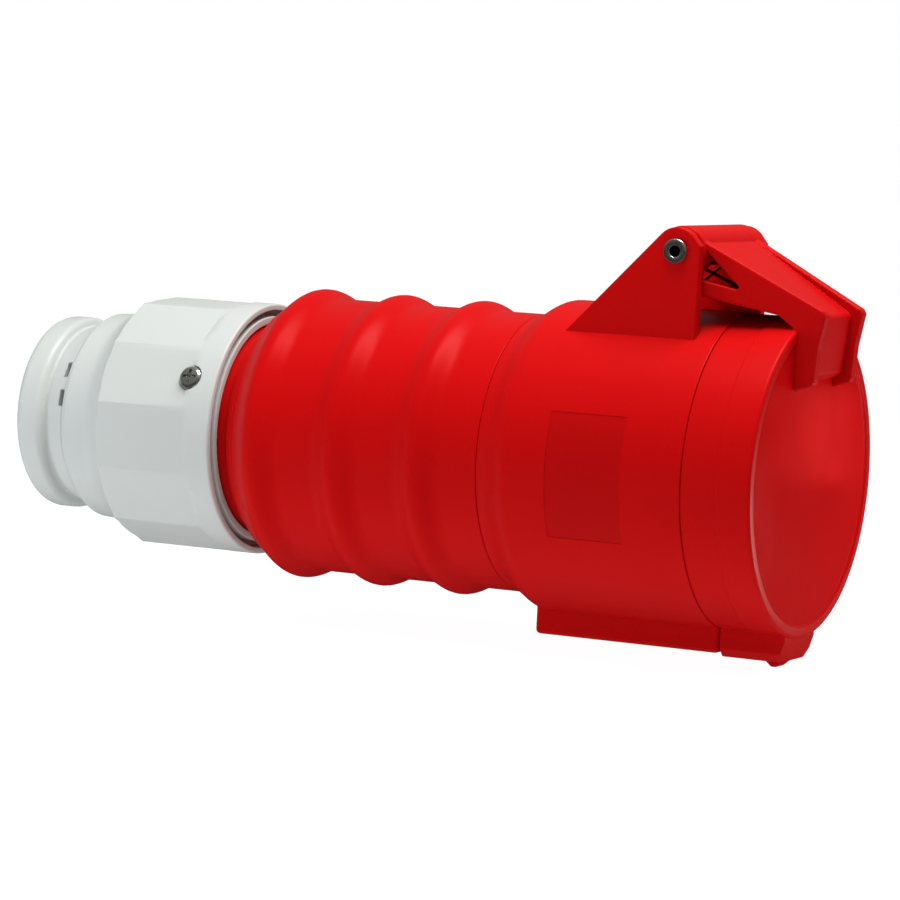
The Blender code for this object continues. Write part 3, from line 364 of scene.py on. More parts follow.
@dataclass(frozen=True)
class Finish:
    """What every finish has: a name, a colour and a roughness."""

    name: str
    slot: Slot
    colour: tuple[float, float, float]
    roughness: float

    def shade(self, graph: Graph, shader: bpy.types.Node) -> None:
        """Link the finish's own nodes to its shader."""
        raise NotImplementedError

    def material(self) -> bpy.types.Material:
        """Make the finish's material, or give the one made before.

        Returns:
            The material.
        """
        made = bpy.data.materials.get(self.name)
        if made is not None:
            return made
        made = bpy.data.materials.new(self.name)
        made.use_nodes = True
        made.diffuse_color = (*self.colour, 1.0)
        shader = made.node_tree.nodes["Principled BSDF"]
        shader.inputs["Base Color"].default_value = (*self.colour, 1.0)
        shader.inputs["Roughness"].default_value = self.roughness
        self.shade(Graph(made.node_tree), shader)
        return made

    def tint(self, graph: Graph, mask: Term, low: float, high: float) -> bpy.types.NodeSocket:
        """Vary the colour between two strengths.

        Args:
            graph: The material's graph.
            mask: Where it is strong, from 0 to 1.
            low: Strength where the mask is 0.
            high: Strength where the mask is 1.

        Returns:
            The colour's socket.
        """
        weak = tuple(part * low for part in self.colour)
        strong = tuple(min(part * high, 1.0) for part in self.colour)
        mix = graph.node("ShaderNodeMix", {"data_type": "RGBA"}, {0: mask})
        mix.inputs[6].default_value = (*weak, 1.0)
        mix.inputs[7].default_value = (*strong, 1.0)
        return mix.outputs[2]

    def place(self, graph: Graph) -> Term:
        """Give the coordinates of the piece itself."""
        return graph.term(graph.node("ShaderNodeTexCoord"), "Object")

    def bump(self, graph: Graph, shader: bpy.types.Node, height: Term, depth: float,
             edge: float) -> None:
        """Give the shader a relief, with its sharp edges softened.

        Args:
            graph: The material's graph.
            shader: The shader that takes the normal.
            height: Relief, from 0 to 1.
            depth: Depth of the relief, in millimetres.
            edge: Radius of the softened edges, in millimetres.
        """
        soft = graph.node("ShaderNodeBevel", {"samples": 6}, {"Radius": edge * MM})
        values = {"Height": height, "Distance": depth * MM, "Normal": soft.outputs[0]}
        relief = graph.node("ShaderNodeBump", None, values)
        graph.tree.links.new(relief.outputs[0], shader.inputs["Normal"])


@dataclass(frozen=True)
class Moulding(Finish):
    """Moulded plastic: fine spark-eroded grain, faint flow clouds and handling haze."""

    grain: float = 0.010
    grain_waves: float = 2600.0
    ripple_waves: float = 240.0
    haze_waves: float = 95.0
    cloud_waves: float = 38.0
    cloud: float = 0.04
    polish: float = 0.02
    haze_rough: float = 0.05
    grain_rough: float = 0.03
    gloss: float = 0.5
    edge: float = 0.3
    shine: tuple[float, float, float] = (1.0, 1.0, 1.0)
    patch_dark: float = 0.0
    patch_rough: float = 0.0

    def patch(self, graph: Graph, place: Term) -> Term | None:
        """Give 1 on the part of the moulding that is polished or matted apart, if any."""
        return None

    def shade(self, graph: Graph, shader: bpy.types.Node) -> None:
        """Link clouds to the colour, haze to the roughness and grain to the normal.

        Args:
            graph: The material's graph.
            shader: The shader that takes the links.
        """
        place = self.place(graph)
        clouds = graph.noise(place, self.cloud_waves, 3.0)
        grain = graph.noise(place, self.grain_waves, 2.0, 0.6)
        ripple = graph.noise(place, self.ripple_waves, 2.0)
        haze = graph.noise(place, self.haze_waves, 4.0, 0.6)
        haze = graph.ramp(haze, ((0.42, 0.0), (0.7, 1.0)))
        rough = self.roughness - self.polish
        rough = rough + self.haze_rough * haze + self.grain_rough * grain
        span = 2.0 * self.cloud + self.patch_dark
        mask = clouds * (2.0 * self.cloud / span) + self.patch_dark / span
        patch = self.patch(graph, place)
        if patch is not None:
            mask = mask - patch * (self.patch_dark / span)
            rough = rough + patch * self.patch_rough
        low, high = 1.0 - self.cloud - self.patch_dark, 1.0 + self.cloud
        graph.tree.links.new(self.tint(graph, mask, low, high), shader.inputs["Base Color"])
        graph.tree.links.new(rough.socket, shader.inputs["Roughness"])
        shader.inputs["Specular IOR Level"].default_value = self.gloss
        shader.inputs["Specular Tint"].default_value = (*self.shine, 1.0)
        self.bump(graph, shader, grain * 0.4 + ripple, self.grain, self.edge)


@dataclass(frozen=True)
class LabelMoulding(Moulding):
    """Moulding with a darker, more matt field for a label on its near side."""

    label: tuple[Point, Point] = (
        (LABEL_FRONT_X - LABEL_LEN, LABEL_FRONT_X), (-15.2, 12.9))

    def patch(self, graph: Graph, place: Term) -> Term | None:
        """Give 1 on the label's field.

        Args:
            graph: The material's graph.
            place: Coordinates of the piece.

        Returns:
            The mask, or None.
        """
        x, y, z = graph.split(place.socket)
        (rear, front), (low, high) = self.label
        along = (x > rear * MM) * (x < front * MM)
        return along * (z > low * MM) * (z < high * MM) * (y < 0.0)


@dataclass(frozen=True)
class LidMoulding(Moulding):
    """Moulding of the lid, with a polished front face and painted shade in the room inside the
    arms.
    """

    face_x: float = FACE_X - 0.8
    face_r: float = HEAD_R - RIM_W
    room: tuple[Point, Point] = ((PIN_X + EAR_FRONT, FACE_X - 1.5), (HEAD_R + 0.4, PIN_Z + 0.85))
    room_fall: float = 0.583
    room_half: float = 14.1
    room_splay: float = ARM_SPLAY
    # Painted shade: the colour in the room inside the arms is scaled down by this share.
    painted_shade: float = 0.3

    def tint(self, graph: Graph, mask: Term, low: float, high: float) -> bpy.types.NodeSocket:
        """Paint shade into the colour of the room inside the arms.

        Args:
            graph: The material's graph.
            mask: Where the colour is strong, from 0 to 1.
            low: Strength where the mask is 0.
            high: Strength where the mask is 1.

        Returns:
            The colour's socket.
        """
        plain = super().tint(graph, mask, low, high)
        x, y, z = graph.split(self.place(graph).socket)
        (rear, front), (foot, top) = self.room
        along = x - rear * MM
        inside = (along > 0.0) * (x < front * MM) * (z > foot * MM)
        inside = inside * (z < top * MM - along * self.room_fall)
        inside = inside * (abs(y) < self.room_half * MM - along * self.room_splay)
        # Painted shade: inside the room the colour is swapped for a darker copy of itself.
        mix = graph.node("ShaderNodeMix", {"data_type": "RGBA"}, {0: inside, 6: plain})
        mix.inputs[7].default_value = (*(part * self.painted_shade for part in self.colour), 1.0)
        return mix.outputs[2]

    def patch(self, graph: Graph, place: Term) -> Term | None:
        """Give 1 on the lid's front face.

        Args:
            graph: The material's graph.
            place: Coordinates of the piece.

        Returns:
            The mask, or None.
        """
        x, y, z = graph.split(place.socket)
        ahead = (x > self.face_x * MM) * (x < (self.face_x + 1.0) * MM)
        return ahead * (y * y + z * z < (self.face_r * MM) ** 2)


@dataclass(frozen=True)
class Rubber(Finish):
    """Black rubber: matt, with a grey bloom and a pitted skin."""

    bloom_waves: float = 160.0
    pit_waves: float = 1900.0
    pit_depth: float = 0.03
    bloom_rough: float = 0.12
    bloom_tint: Point = (0.8, 2.2)
    edge: float = 0.2

    def shade(self, graph: Graph, shader: bpy.types.Node) -> None:
        """Link bloom to the colour and roughness, and pits to the normal.

        Args:
            graph: The material's graph.
            shader: The shader that takes the links.
        """
        place = self.place(graph)
        bloom = graph.noise(place, self.bloom_waves, 4.0, 0.6)
        bloom = graph.ramp(bloom, ((0.4, 0.0), (0.75, 1.0)))
        pits = graph.noise(place, self.pit_waves, 3.0, 0.7)
        colour = self.tint(graph, bloom, *self.bloom_tint)
        graph.tree.links.new(colour, shader.inputs["Base Color"])
        rough = self.roughness + self.bloom_rough * bloom
        graph.tree.links.new(rough.socket, shader.inputs["Roughness"])
        self.bump(graph, shader, pits, self.pit_depth, self.edge)


@dataclass(frozen=True)
class TurnedMetal(Finish):
    """Metal off a lathe or a header: fine tool marks round the socket's axis and stains."""

    marks: float = 0.004
    mark_waves: float = 9000.0
    smear_waves: float = 900.0
    stain_waves: float = 210.0
    stain_tint: Point = (0.82, 1.04)
    stain_polish: float = 0.06
    smear_rough: float = 0.14
    edge: float = 0.12

    def shade(self, graph: Graph, shader: bpy.types.Node) -> None:
        """Link stains to the colour, smears to the roughness and tool marks to the normal.

        Args:
            graph: The material's graph.
            shader: The shader that takes the links.
        """
        place = self.place(graph)
        x, _, _ = graph.split(place.socket)
        stains = graph.noise(place, self.stain_waves, 4.0, 0.6)
        stains = graph.ramp(stains, ((0.35, 0.0), (0.65, 1.0)))
        smears = graph.noise(place, self.smear_waves, 3.0, 0.6)
        marks = (x * self.mark_waves + 2.0 * smears).sine() * 0.5 + 0.5
        colour = self.tint(graph, stains, *self.stain_tint)
        graph.tree.links.new(colour, shader.inputs["Base Color"])
        rough = self.roughness + self.smear_rough * smears - self.stain_polish * stains
        graph.tree.links.new(rough.socket, shader.inputs["Roughness"])
        shader.inputs["Metallic"].default_value = 1.0
        self.bump(graph, shader, marks + smears, self.marks, self.edge)


RED_SIZES: dict[str, Any] = {
    "slot": Slot.RED, "colour": (0.49, 0.0033, 0.0038), "roughness": 0.33, "gloss": 0.11,
    "shine": (1.0, 0.12, 0.12)}
RED = Moulding("red_moulding", **RED_SIZES)
RED_LABEL = LabelMoulding("red_moulding_label", patch_dark=0.12, patch_rough=0.1, **RED_SIZES)
RED_LID = LidMoulding("red_moulding_lid", patch_rough=-0.22, **RED_SIZES)
GREY = Moulding("grey_moulding", Slot.GREY, (0.53, 0.56, 0.55), 0.4, gloss=0.4, cloud=0.02)
BLACK = Moulding("black_moulding", Slot.BLACK, (0.022, 0.023, 0.025), 0.5, grain=0.02,
                 cloud=0.15)
WHITE = Moulding("white_moulding", Slot.WHITE, (0.72, 0.71, 0.66), 0.48, cloud=0.02)
RUBBER = Rubber("black_rubber_skin", Slot.RUBBER, (0.017, 0.017, 0.018), 0.68)
BRASS = TurnedMetal("turned_brass", Slot.BRASS, (0.78, 0.53, 0.20), 0.24)
STEEL = TurnedMetal("plated_steel", Slot.STEEL, (0.60, 0.59, 0.55), 0.2, marks=0.002)
SPRING_STEEL = TurnedMetal("spring_steel", Slot.STEEL, (0.10, 0.10, 0.105), 0.35, marks=0.002)


# Forms ----------------------------------------------------------------------------------


def round_corners(corners: Sequence[Corner], steps: int = 4) -> list[Point]:
    """Round the corners of a closed outline.

    Args:
        corners: Each corner's place and its radius. A radius of 0 leaves it sharp.
        steps: Edges in each rounded corner.

    Returns:
        The outline's points.
    """
    outline: list[Point] = []
    for index, (across, up, radius) in enumerate(corners):
        here = Vector((across, up))
        before = Vector(corners[index - 1][:2]) - here
        after = Vector(corners[(index + 1) % len(corners)][:2]) - here
        if radius <= 0.0:
            outline.append((across, up))
            continue
        half = before.angle(after) / 2
        reach = min(radius / math.tan(half), 0.48 * min(before.length, after.length))
        start = here + before.normalized() * reach
        toward = (before.normalized() + after.normalized()).normalized()
        centre = here + toward * (reach / math.cos(half))
        arm = start - centre
        first = math.atan2(arm.y, arm.x)
        other = here + after.normalized() * reach - centre
        sweep = math.atan2(other.y, other.x) - first
        sweep = (sweep + math.pi) % (2 * math.pi) - math.pi
        for step in range(steps + 1):
            angle = first + sweep * step / steps
            outline.append((centre.x + arm.length * math.cos(angle),
                            centre.y + arm.length * math.sin(angle)))
    return outline


@dataclass(frozen=True)
class Bend:
    """How a piece bends over to a second body, between two points in metres."""

    body: Body
    start: Corner
    end: Corner


class Form:
    """A shape in the making: one Blender object at the origin, with its place in its mesh."""

    def __init__(self, name: str, mesh: bmesh.types.BMesh) -> None:
        """Make the object from a bmesh in metres.

        Args:
            name: The object's name.
            mesh: Its faces, which are turned outwards here.
        """
        bmesh.ops.recalc_face_normals(mesh, faces=mesh.faces)
        data = bpy.data.meshes.new(name)
        mesh.to_mesh(data)
        mesh.free()
        self.object = bpy.data.objects.new(name, data)
        bpy.context.scene.collection.objects.link(self.object)

    def settle(self) -> Form:
        """Make the object's modifiers part of its mesh.

        Returns:
            This form.
        """
        graph = bpy.context.evaluated_depsgraph_get()
        data = bpy.data.meshes.new_from_object(self.object.evaluated_get(graph))
        self.object.modifiers.clear()
        self.object.data = data
        return self

    def _combine(self, operation: str, others: Sequence[Form]) -> Form:
        """Combine with other forms, which are used up.

        Args:
            operation: The Boolean operation.
            others: The other forms.

        Returns:
            This form.
        """
        for other in others:
            modifier = self.object.modifiers.new(operation.lower(), "BOOLEAN")
            modifier.operation = operation
            modifier.solver = "EXACT"
            modifier.object = other.object
        self.settle()
        for other in others:
            bpy.data.objects.remove(other.object, do_unlink=True)
        return self

    def cut(self, *others: Form) -> Form:
        """Cut other forms out of this one."""
        return self._combine("DIFFERENCE", others)

    def keep_within(self, *others: Form) -> Form:
        """Keep what lies inside other forms."""
        return self._combine("INTERSECT", others)

    def add(self, *others: Form) -> Form:
        """Take the shells of other forms into this one.

        Args:
            others: Forms whose walls run into this one's. They are used up.

        Returns:
            This form.
        """
        mesh = bmesh.new()
        mesh.from_mesh(self.object.data)
        for other in others:
            mesh.from_mesh(other.object.data)
            bpy.data.objects.remove(other.object, do_unlink=True)
        mesh.to_mesh(self.object.data)
        mesh.free()
        return self

    def placed(self, matrix: Matrix) -> Form:
        """Move the form's points."""
        self.object.data.transform(matrix)
        return self

    def dress(self, finish: Finish, body: Body, *nodes: str, crease: float = 32.0,
              bend: Bend | None = None) -> None:
        """Finish the piece, attach it to its body and hide the CAD nodes that it stands for.

        Args:
            finish: What it is made of.
            body: What it rides on.
            nodes: CAD nodes that it stands for.
            crease: Angle in degrees past which an edge stays sharp.
            bend: Where it would bend over to a second body, if it does. Given one, the piece is
                not attached to its body, and its place is baked into its mesh.
        """
        piece = self.object
        piece.data.materials.clear()
        piece.data.materials.append(finish.material())
        for face in piece.data.polygons:
            face.material_index = 0
        piece.data.shade_smooth()
        piece.data.set_sharp_from_angle(angle=math.radians(crease))
        normals = piece.modifiers.new("normals", "WEIGHTED_NORMAL")
        normals.keep_sharp = True
        if bend is None:
            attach(piece, body.value)
        else:
            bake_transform(piece)
        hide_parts(*nodes)
        LOG.info("%s: %d faces, %s, for %s", piece.name, len(piece.data.polygons),
                 finish.name, ", ".join(nodes))


def lathe(name: str, profile: Sequence[Point], segments: int = ROUND,
          phase: float = 0.0) -> Form:
    """Turn a profile about the X axis.

    Args:
        name: The form's name.
        profile: Points of (station, radius) in millimetres. They make a closed loop, or
            start and end on the axis.
        segments: Faces round the axis.
        phase: Angle in degrees of the first row of points.

    Returns:
        The form.
    """
    mesh = bmesh.new()
    angles = [math.radians(phase) + 2 * math.pi * i / segments for i in range(segments)]
    rings = []
    for x, radius in profile:
        if radius < 1e-6:
            rings.append([mesh.verts.new((x * MM, 0.0, 0.0))] * segments)
        else:
            rings.append([mesh.verts.new((x * MM, radius * MM * math.cos(angle),
                                          radius * MM * math.sin(angle)))
                          for angle in angles])
    pairs = list(zip(rings, rings[1:]))
    if profile[0][1] > 1e-6:
        pairs.append((rings[-1], rings[0]))
    for first, second in pairs:
        for i in range(segments):
            j = (i + 1) % segments
            corners = list(dict.fromkeys((first[i], second[i], second[j], first[j])))
            if len(corners) > 2:
                mesh.faces.new(corners)
    return Form(name, mesh)


def plate(name: str, outlines: Sequence[Sequence[Point]], thickness: float, place: Matrix,
          edge: float = 0.0) -> Form:
    """Make a flat plate with rounded edges.

    Args:
        name: The form's name.
        outlines: Its outline, anticlockwise, and then its holes, clockwise.
        thickness: Its thickness, half on each side of its own XY plane.
        place: Where it stands, in millimetres.
        edge: Radius of its edges.

    Returns:
        The form.
    """
    curve = bpy.data.curves.new(name, "CURVE")
    curve.dimensions = "2D"
    curve.fill_mode = "BOTH"
    curve.extrude = thickness / 2 - edge
    if edge:
        curve.bevel_depth = edge
        curve.bevel_resolution = 2
        curve.offset = -edge
    for outline in outlines:
        spline = curve.splines.new("POLY")
        spline.points.add(len(outline) - 1)
        for point, (x, y) in zip(spline.points, outline):
            point.co = (x, y, 0.0, 1.0)
        spline.use_cyclic_u = True
    guide = bpy.data.objects.new(name, curve)
    bpy.context.scene.collection.objects.link(guide)
    graph = bpy.context.evaluated_depsgraph_get()
    data = bpy.data.meshes.new_from_object(guide.evaluated_get(graph))
    bpy.data.objects.remove(guide, do_unlink=True)
    mesh = bmesh.new()
    mesh.from_mesh(data)
    bmesh.ops.remove_doubles(mesh, verts=mesh.verts, dist=0.001)
    bmesh.ops.transform(mesh, matrix=Matrix.Scale(MM, 4) @ place, verts=mesh.verts)
    return Form(name, mesh)


def block(name: str, low: Sequence[float], high: Sequence[float], edge: float = 0.0) -> Form:
    """Make a box, with its edges rounded.

    Args:
        name: The form's name.
        low: Its lowest corner, in millimetres.
        high: Its highest corner.
        edge: Radius of its edges.

    Returns:
        The form.
    """
    mesh = bmesh.new()
    bmesh.ops.create_cube(mesh, size=1.0)
    size = Vector(high) - Vector(low)
    middle = (Vector(high) + Vector(low)) / 2
    shape = Matrix.Scale(MM, 4) @ Matrix.Translation(middle) @ Matrix.Diagonal((*size, 1.0))
    bmesh.ops.transform(mesh, matrix=shape, verts=mesh.verts)
    if edge:
        bmesh.ops.bevel(mesh, geom=list(mesh.edges), offset=edge * MM, segments=5,
                        profile=0.5, affect="EDGES")
    return Form(name, mesh)


def beside(y: float) -> Matrix:
    """Stand a plate in the XZ plane at y, in millimetres."""
    return Matrix.Translation((0.0, y, 0.0)) @ Matrix.Rotation(math.pi / 2, 4, "X")


def across(x: float) -> Matrix:
    """Stand a plate in the YZ plane at x, in millimetres."""
    return Matrix(((0, 0, 1, x), (1, 0, 0, 0), (0, 1, 0, 0), (0, 0, 0, 1)))


def arc(centre: Point, radius: float, first: float, last: float, steps: int) -> list[Point]:
    """Give points on an arc.

    Args:
        centre: The arc's centre.
        radius: Its radius.
        first: Angle of its first point, in degrees.
        last: Angle of its last point.
        steps: Edges along it.

    Returns:
        The points.
    """
    angles = [math.radians(first + (last - first) * i / steps) for i in range(steps + 1)]
    return [(centre[0] + radius * math.cos(angle), centre[1] + radius * math.sin(angle))
            for angle in angles]


# Rules that repeat a shape --------------------------------------------------------------


def rib_rule(finish: Finish) -> RuleTree:
    """Make the rule that raises round ribs on a grip.

    Args:
        finish: The grip's finish.

    Returns:
        The tree. Its rear rib runs down to the grip's narrower end.
    """
    rule = RuleTree("grip_ribs")
    first, pitch = rule.size("First Crest"), rule.size("Pitch")
    last, half = rule.size("Last Rib"), rule.size("Half Width")
    rise, drop, skin = rule.size("Rise"), rule.size("End Drop"), rule.size("Skin Radius")
    x, y, z = rule.split(rule.node("GeometryNodeInputPosition").outputs[0])
    radius = (y * y + z * z) ** 0.5
    order = ((first - x) / pitch).nearest().most(0.0).least(last)
    away = (x - first + order * pitch) / half
    share = abs(away).least(1.0)
    wave = rise * ((share * math.pi).cosine() + 1.0) * 0.5
    tail = drop * share * share * (away < 0.0) * (order > last - 0.5)
    scale = 1.0 + (radius > skin) * (wave - tail) / radius
    rule.close(rule.moved(x, y * scale, z * scale), finish.material())
    return rule


def flat_rule(finish: Finish) -> RuleTree:
    """Make the rule that cuts flats round a nut, with a ramp up to its round rim.

    Args:
        finish: The nut's finish.

    Returns:
        The tree.
    """
    rule = RuleTree("nut_flats")
    middle, half = rule.size("Flat Angle"), rule.size("Half Step")
    start, end = rule.size("Ramp Start"), rule.size("Ramp End")
    wide, narrow = rule.size("Rim Reach"), rule.size("Flat Reach")
    x, y, z = rule.split(rule.node("GeometryNodeInputPosition").outputs[0])
    radius = (y * y + z * z) ** 0.5
    turn = (z.turned_from(y) - middle).wrapped(half)
    share = ((start - x) / (start - end)).most(0.0).least(1.0)
    reach = wide + (narrow - wide) * share
    scale = radius.least(reach / turn.cosine()) / radius
    rule.close(rule.moved(x, y * scale, z * scale), finish.material())
    return rule


def ring_rule(finish: Finish) -> RuleTree:
    """Make the rule that repeats a shape round the X axis.

    Args:
        finish: The shape's finish.

    Returns:
        The tree. The shape is modelled beside the axis, on its +Y side.
    """
    rule = RuleTree("round_the_axis")
    count, first = rule.size("Count"), rule.size("First Angle")
    step, radius = rule.size("Step"), rule.size("Circle Radius")
    index = rule.term(rule.node("GeometryNodeInputIndex"))
    angle = first + index * step
    place = rule.node("ShaderNodeCombineXYZ", None,
                      {1: radius * angle.cosine(), 2: radius * angle.sine()})
    points = rule.node("GeometryNodePoints", None, {"Count": count, "Position": place.outputs[0]})
    turn = rule.node("ShaderNodeCombineXYZ", None, {0: angle})
    copies = rule.node("GeometryNodeInstanceOnPoints", None, {
        "Points": points.outputs[0], "Instance": rule.given(), "Rotation": turn.outputs[0]})
    rule.close(copies.outputs[0], finish.material())
    return rule


def wire_rule(finish: Finish) -> RuleTree:
    """Make the rule that runs a round wire along a path.

    Args:
        finish: The wire's finish.

    Returns:
        The tree. It takes the path as a line of edges.
    """
    rule = RuleTree("wire_on_path")
    radius = rule.size("Wire Radius")
    path = rule.node("GeometryNodeMeshToCurve", None, {"Mesh": rule.given()})
    ring = rule.node("GeometryNodeCurvePrimitiveCircle", None,
                     {"Resolution": 12, "Radius": radius})
    wire = rule.node("GeometryNodeCurveToMesh", None, {
        "Curve": path.outputs[0], "Profile Curve": ring.outputs[0], "Fill Caps": True})
    rule.close(wire.outputs[0], finish.material())
    return rule


def repeat(form: Form, finish: Finish, count: int, first: float, step: float,
           radius: float = 0.0) -> Form:
    """Repeat a form round the X axis.

    Args:
        form: The form, modelled for an angle of 0, which is +Y.
        finish: Its finish.
        count: How many there are.
        first: Angle of the first, in degrees.
        step: Angle from one to the next, in degrees.
        radius: Radius of the circle that they stand on, in millimetres.

    Returns:
        The same form, with all of them in it.
    """
    return ring_rule(finish).apply(form, {
        "Count": count, "First Angle": math.radians(first), "Step": math.radians(step),
        "Circle Radius": radius * MM})


# Sub-assemblies -------------------------------------------------------------------------


@dataclass
class FrontHousing:
    """Red head and collar, with hinge ears, key rib, keyway and a bare label field."""

    rim_x: float = 3.7
    collar_bore: float = 31.9
    collar_r: float = 33.5
    chamfer: float = 0.6
    chamfer_len: float = 2.2
    head_front_x: float = -3.57
    head_r: float = HEAD_R
    shoulder_x: float = -46.0
    rear_x: float = -55.0
    rear_r: float = 32.1
    rear_bore: float = 29.7
    floor_x: float = -36.3
    web_rear_x: float = -39.3
    web_bore: float = 27.6
    keyway_half: float = 5.2
    keyway_floor: float = 36.5
    keyway_wall: float = 1.5
    bump_r: float = 38.1
    key_half: float = 9.0
    key_drop: float = 4.4
    key_front_x: float = -3.8
    key_rear_x: float = -49.3
    key_edge: float = 1.1
    root: float = 3.0
    pin_x: float = PIN_X
    pin_z: float = PIN_Z
    pin_bore: float = PIN_BORE
    ear_inner: float = 17.1
    ear_t: float = 2.8
    ear_r: float = 5.3
    ear_edge: float = 0.35
    ear_front: float = EAR_FRONT
    ear_corner: float = 1.4
    ear_slope: float = 46.0
    ear_root: float = 7.5
    label_front_x: float = LABEL_FRONT_X
    label_len: float = LABEL_LEN
    label_top: float = 21.0
    label_bottom: float = -25.0
    label_depth: float = 0.06

    def shell(self) -> Form:
        """Turn the head, the collar and the web that the insert sits on.

        Returns:
            The shell.
        """
        shoulder = []
        for index in range(1, 12):
            share = index / 12
            drop = (1 - math.cos(math.pi * share)) / 2
            shoulder.append((self.shoulder_x + share * (self.rear_x - self.shoulder_x),
                             self.head_r - drop * (self.head_r - self.rear_r), 0.0))
        profile = [
            (self.rim_x, self.collar_r - self.chamfer, 0.4),
            (self.rim_x - self.chamfer_len, self.collar_r, 2.0),
            (self.head_front_x, self.collar_r, 0.0), (self.head_front_x, self.head_r, 0.25),
            (self.shoulder_x, self.head_r, 0.0), *shoulder,
            (self.rear_x, self.rear_r, 0.25), (self.rear_x, self.rear_bore, 0.4),
            (self.web_rear_x, self.rear_bore, 0.0), (self.web_rear_x, self.web_bore, 0.3),
            (self.floor_x, self.web_bore, 0.3), (self.floor_x, self.collar_bore, 0.5),
            (self.rim_x, self.collar_bore, 0.5)]
        return lathe("housing_shell", round_corners(profile), WIDE)

    def keyway(self) -> Form:
        """Make the cutter of the slot that the plug's key slides in."""
        return block("keyway", (self.floor_x + 0.3, -self.keyway_half, -self.keyway_floor),
                     (self.rim_x + 2 * PAST, self.keyway_half, -self.collar_bore * 0.9))

    def label(self) -> Form:
        """Make the cutter of the bare field on the near side of the head.

        Returns:
            The cutter.
        """
        steps = 20
        outline = []
        for radius, first, last in ((self.head_r + 2 * PAST, self.label_top, self.label_bottom),
                                    (self.head_r - self.label_depth, self.label_bottom,
                                     self.label_top)):
            outline += arc((0.0, 0.0), radius, 180.0 - first, 180.0 - last, steps)
        middle = self.label_front_x - self.label_len / 2
        return plate("label_field", [outline], self.label_len, across(middle))

    def ear(self, side: int) -> Form:
        """Make one hinge ear.

        Args:
            side: -1 for the near ear, 1 for the far one.

        Returns:
            The ear, with the pin's bore through it.
        """
        slope = math.radians(self.ear_slope)
        foot_z = self.head_r - self.ear_root
        front = self.pin_x + self.ear_front
        outline = [(front, foot_z), (front, self.pin_z + self.ear_corner)]
        outline += arc((self.pin_x, self.pin_z), self.ear_r, 45.0, 90.0 + self.ear_slope, 20)
        back_x, back_z = outline[-1]
        outline.append((back_x - (back_z - foot_z) / math.tan(slope), foot_z))
        hole = arc((self.pin_x, self.pin_z), self.pin_bore, 360.0, 0.0, 32)[:-1]
        middle = side * (self.ear_inner + self.ear_t / 2)
        return plate(f"ear_{side}", [outline, hole], self.ear_t, beside(middle), self.ear_edge)

    def build(self) -> None:
        """Build the housing."""
        shell = self.shell().cut(self.keyway(), self.label())
        rib = block("key_rib", (self.key_rear_x, -self.key_half, -self.head_r - self.key_drop),
                    (self.key_front_x, self.key_half, -self.head_r + self.root), self.key_edge)
        rib.cut(self.keyway())
        half = self.keyway_half + self.keyway_wall
        front = self.rim_x - 0.2
        outline = [(front, -self.collar_r), (self.head_front_x - 2.0, -self.collar_r),
                   (self.head_front_x - 2.0, -self.bump_r),
                   (self.rim_x - self.chamfer_len, -self.bump_r),
                   (front, -self.bump_r + self.chamfer)]
        bump = plate("keyway_bump", [outline], 2 * half, beside(0.0), 0.3).cut(self.keyway())
        shell.add(rib, bump, self.ear(-1), self.ear(1))
        shell.object.name = "housing_body"
        shell.dress(RED_LABEL, Body.SOCKET, "front_housing")


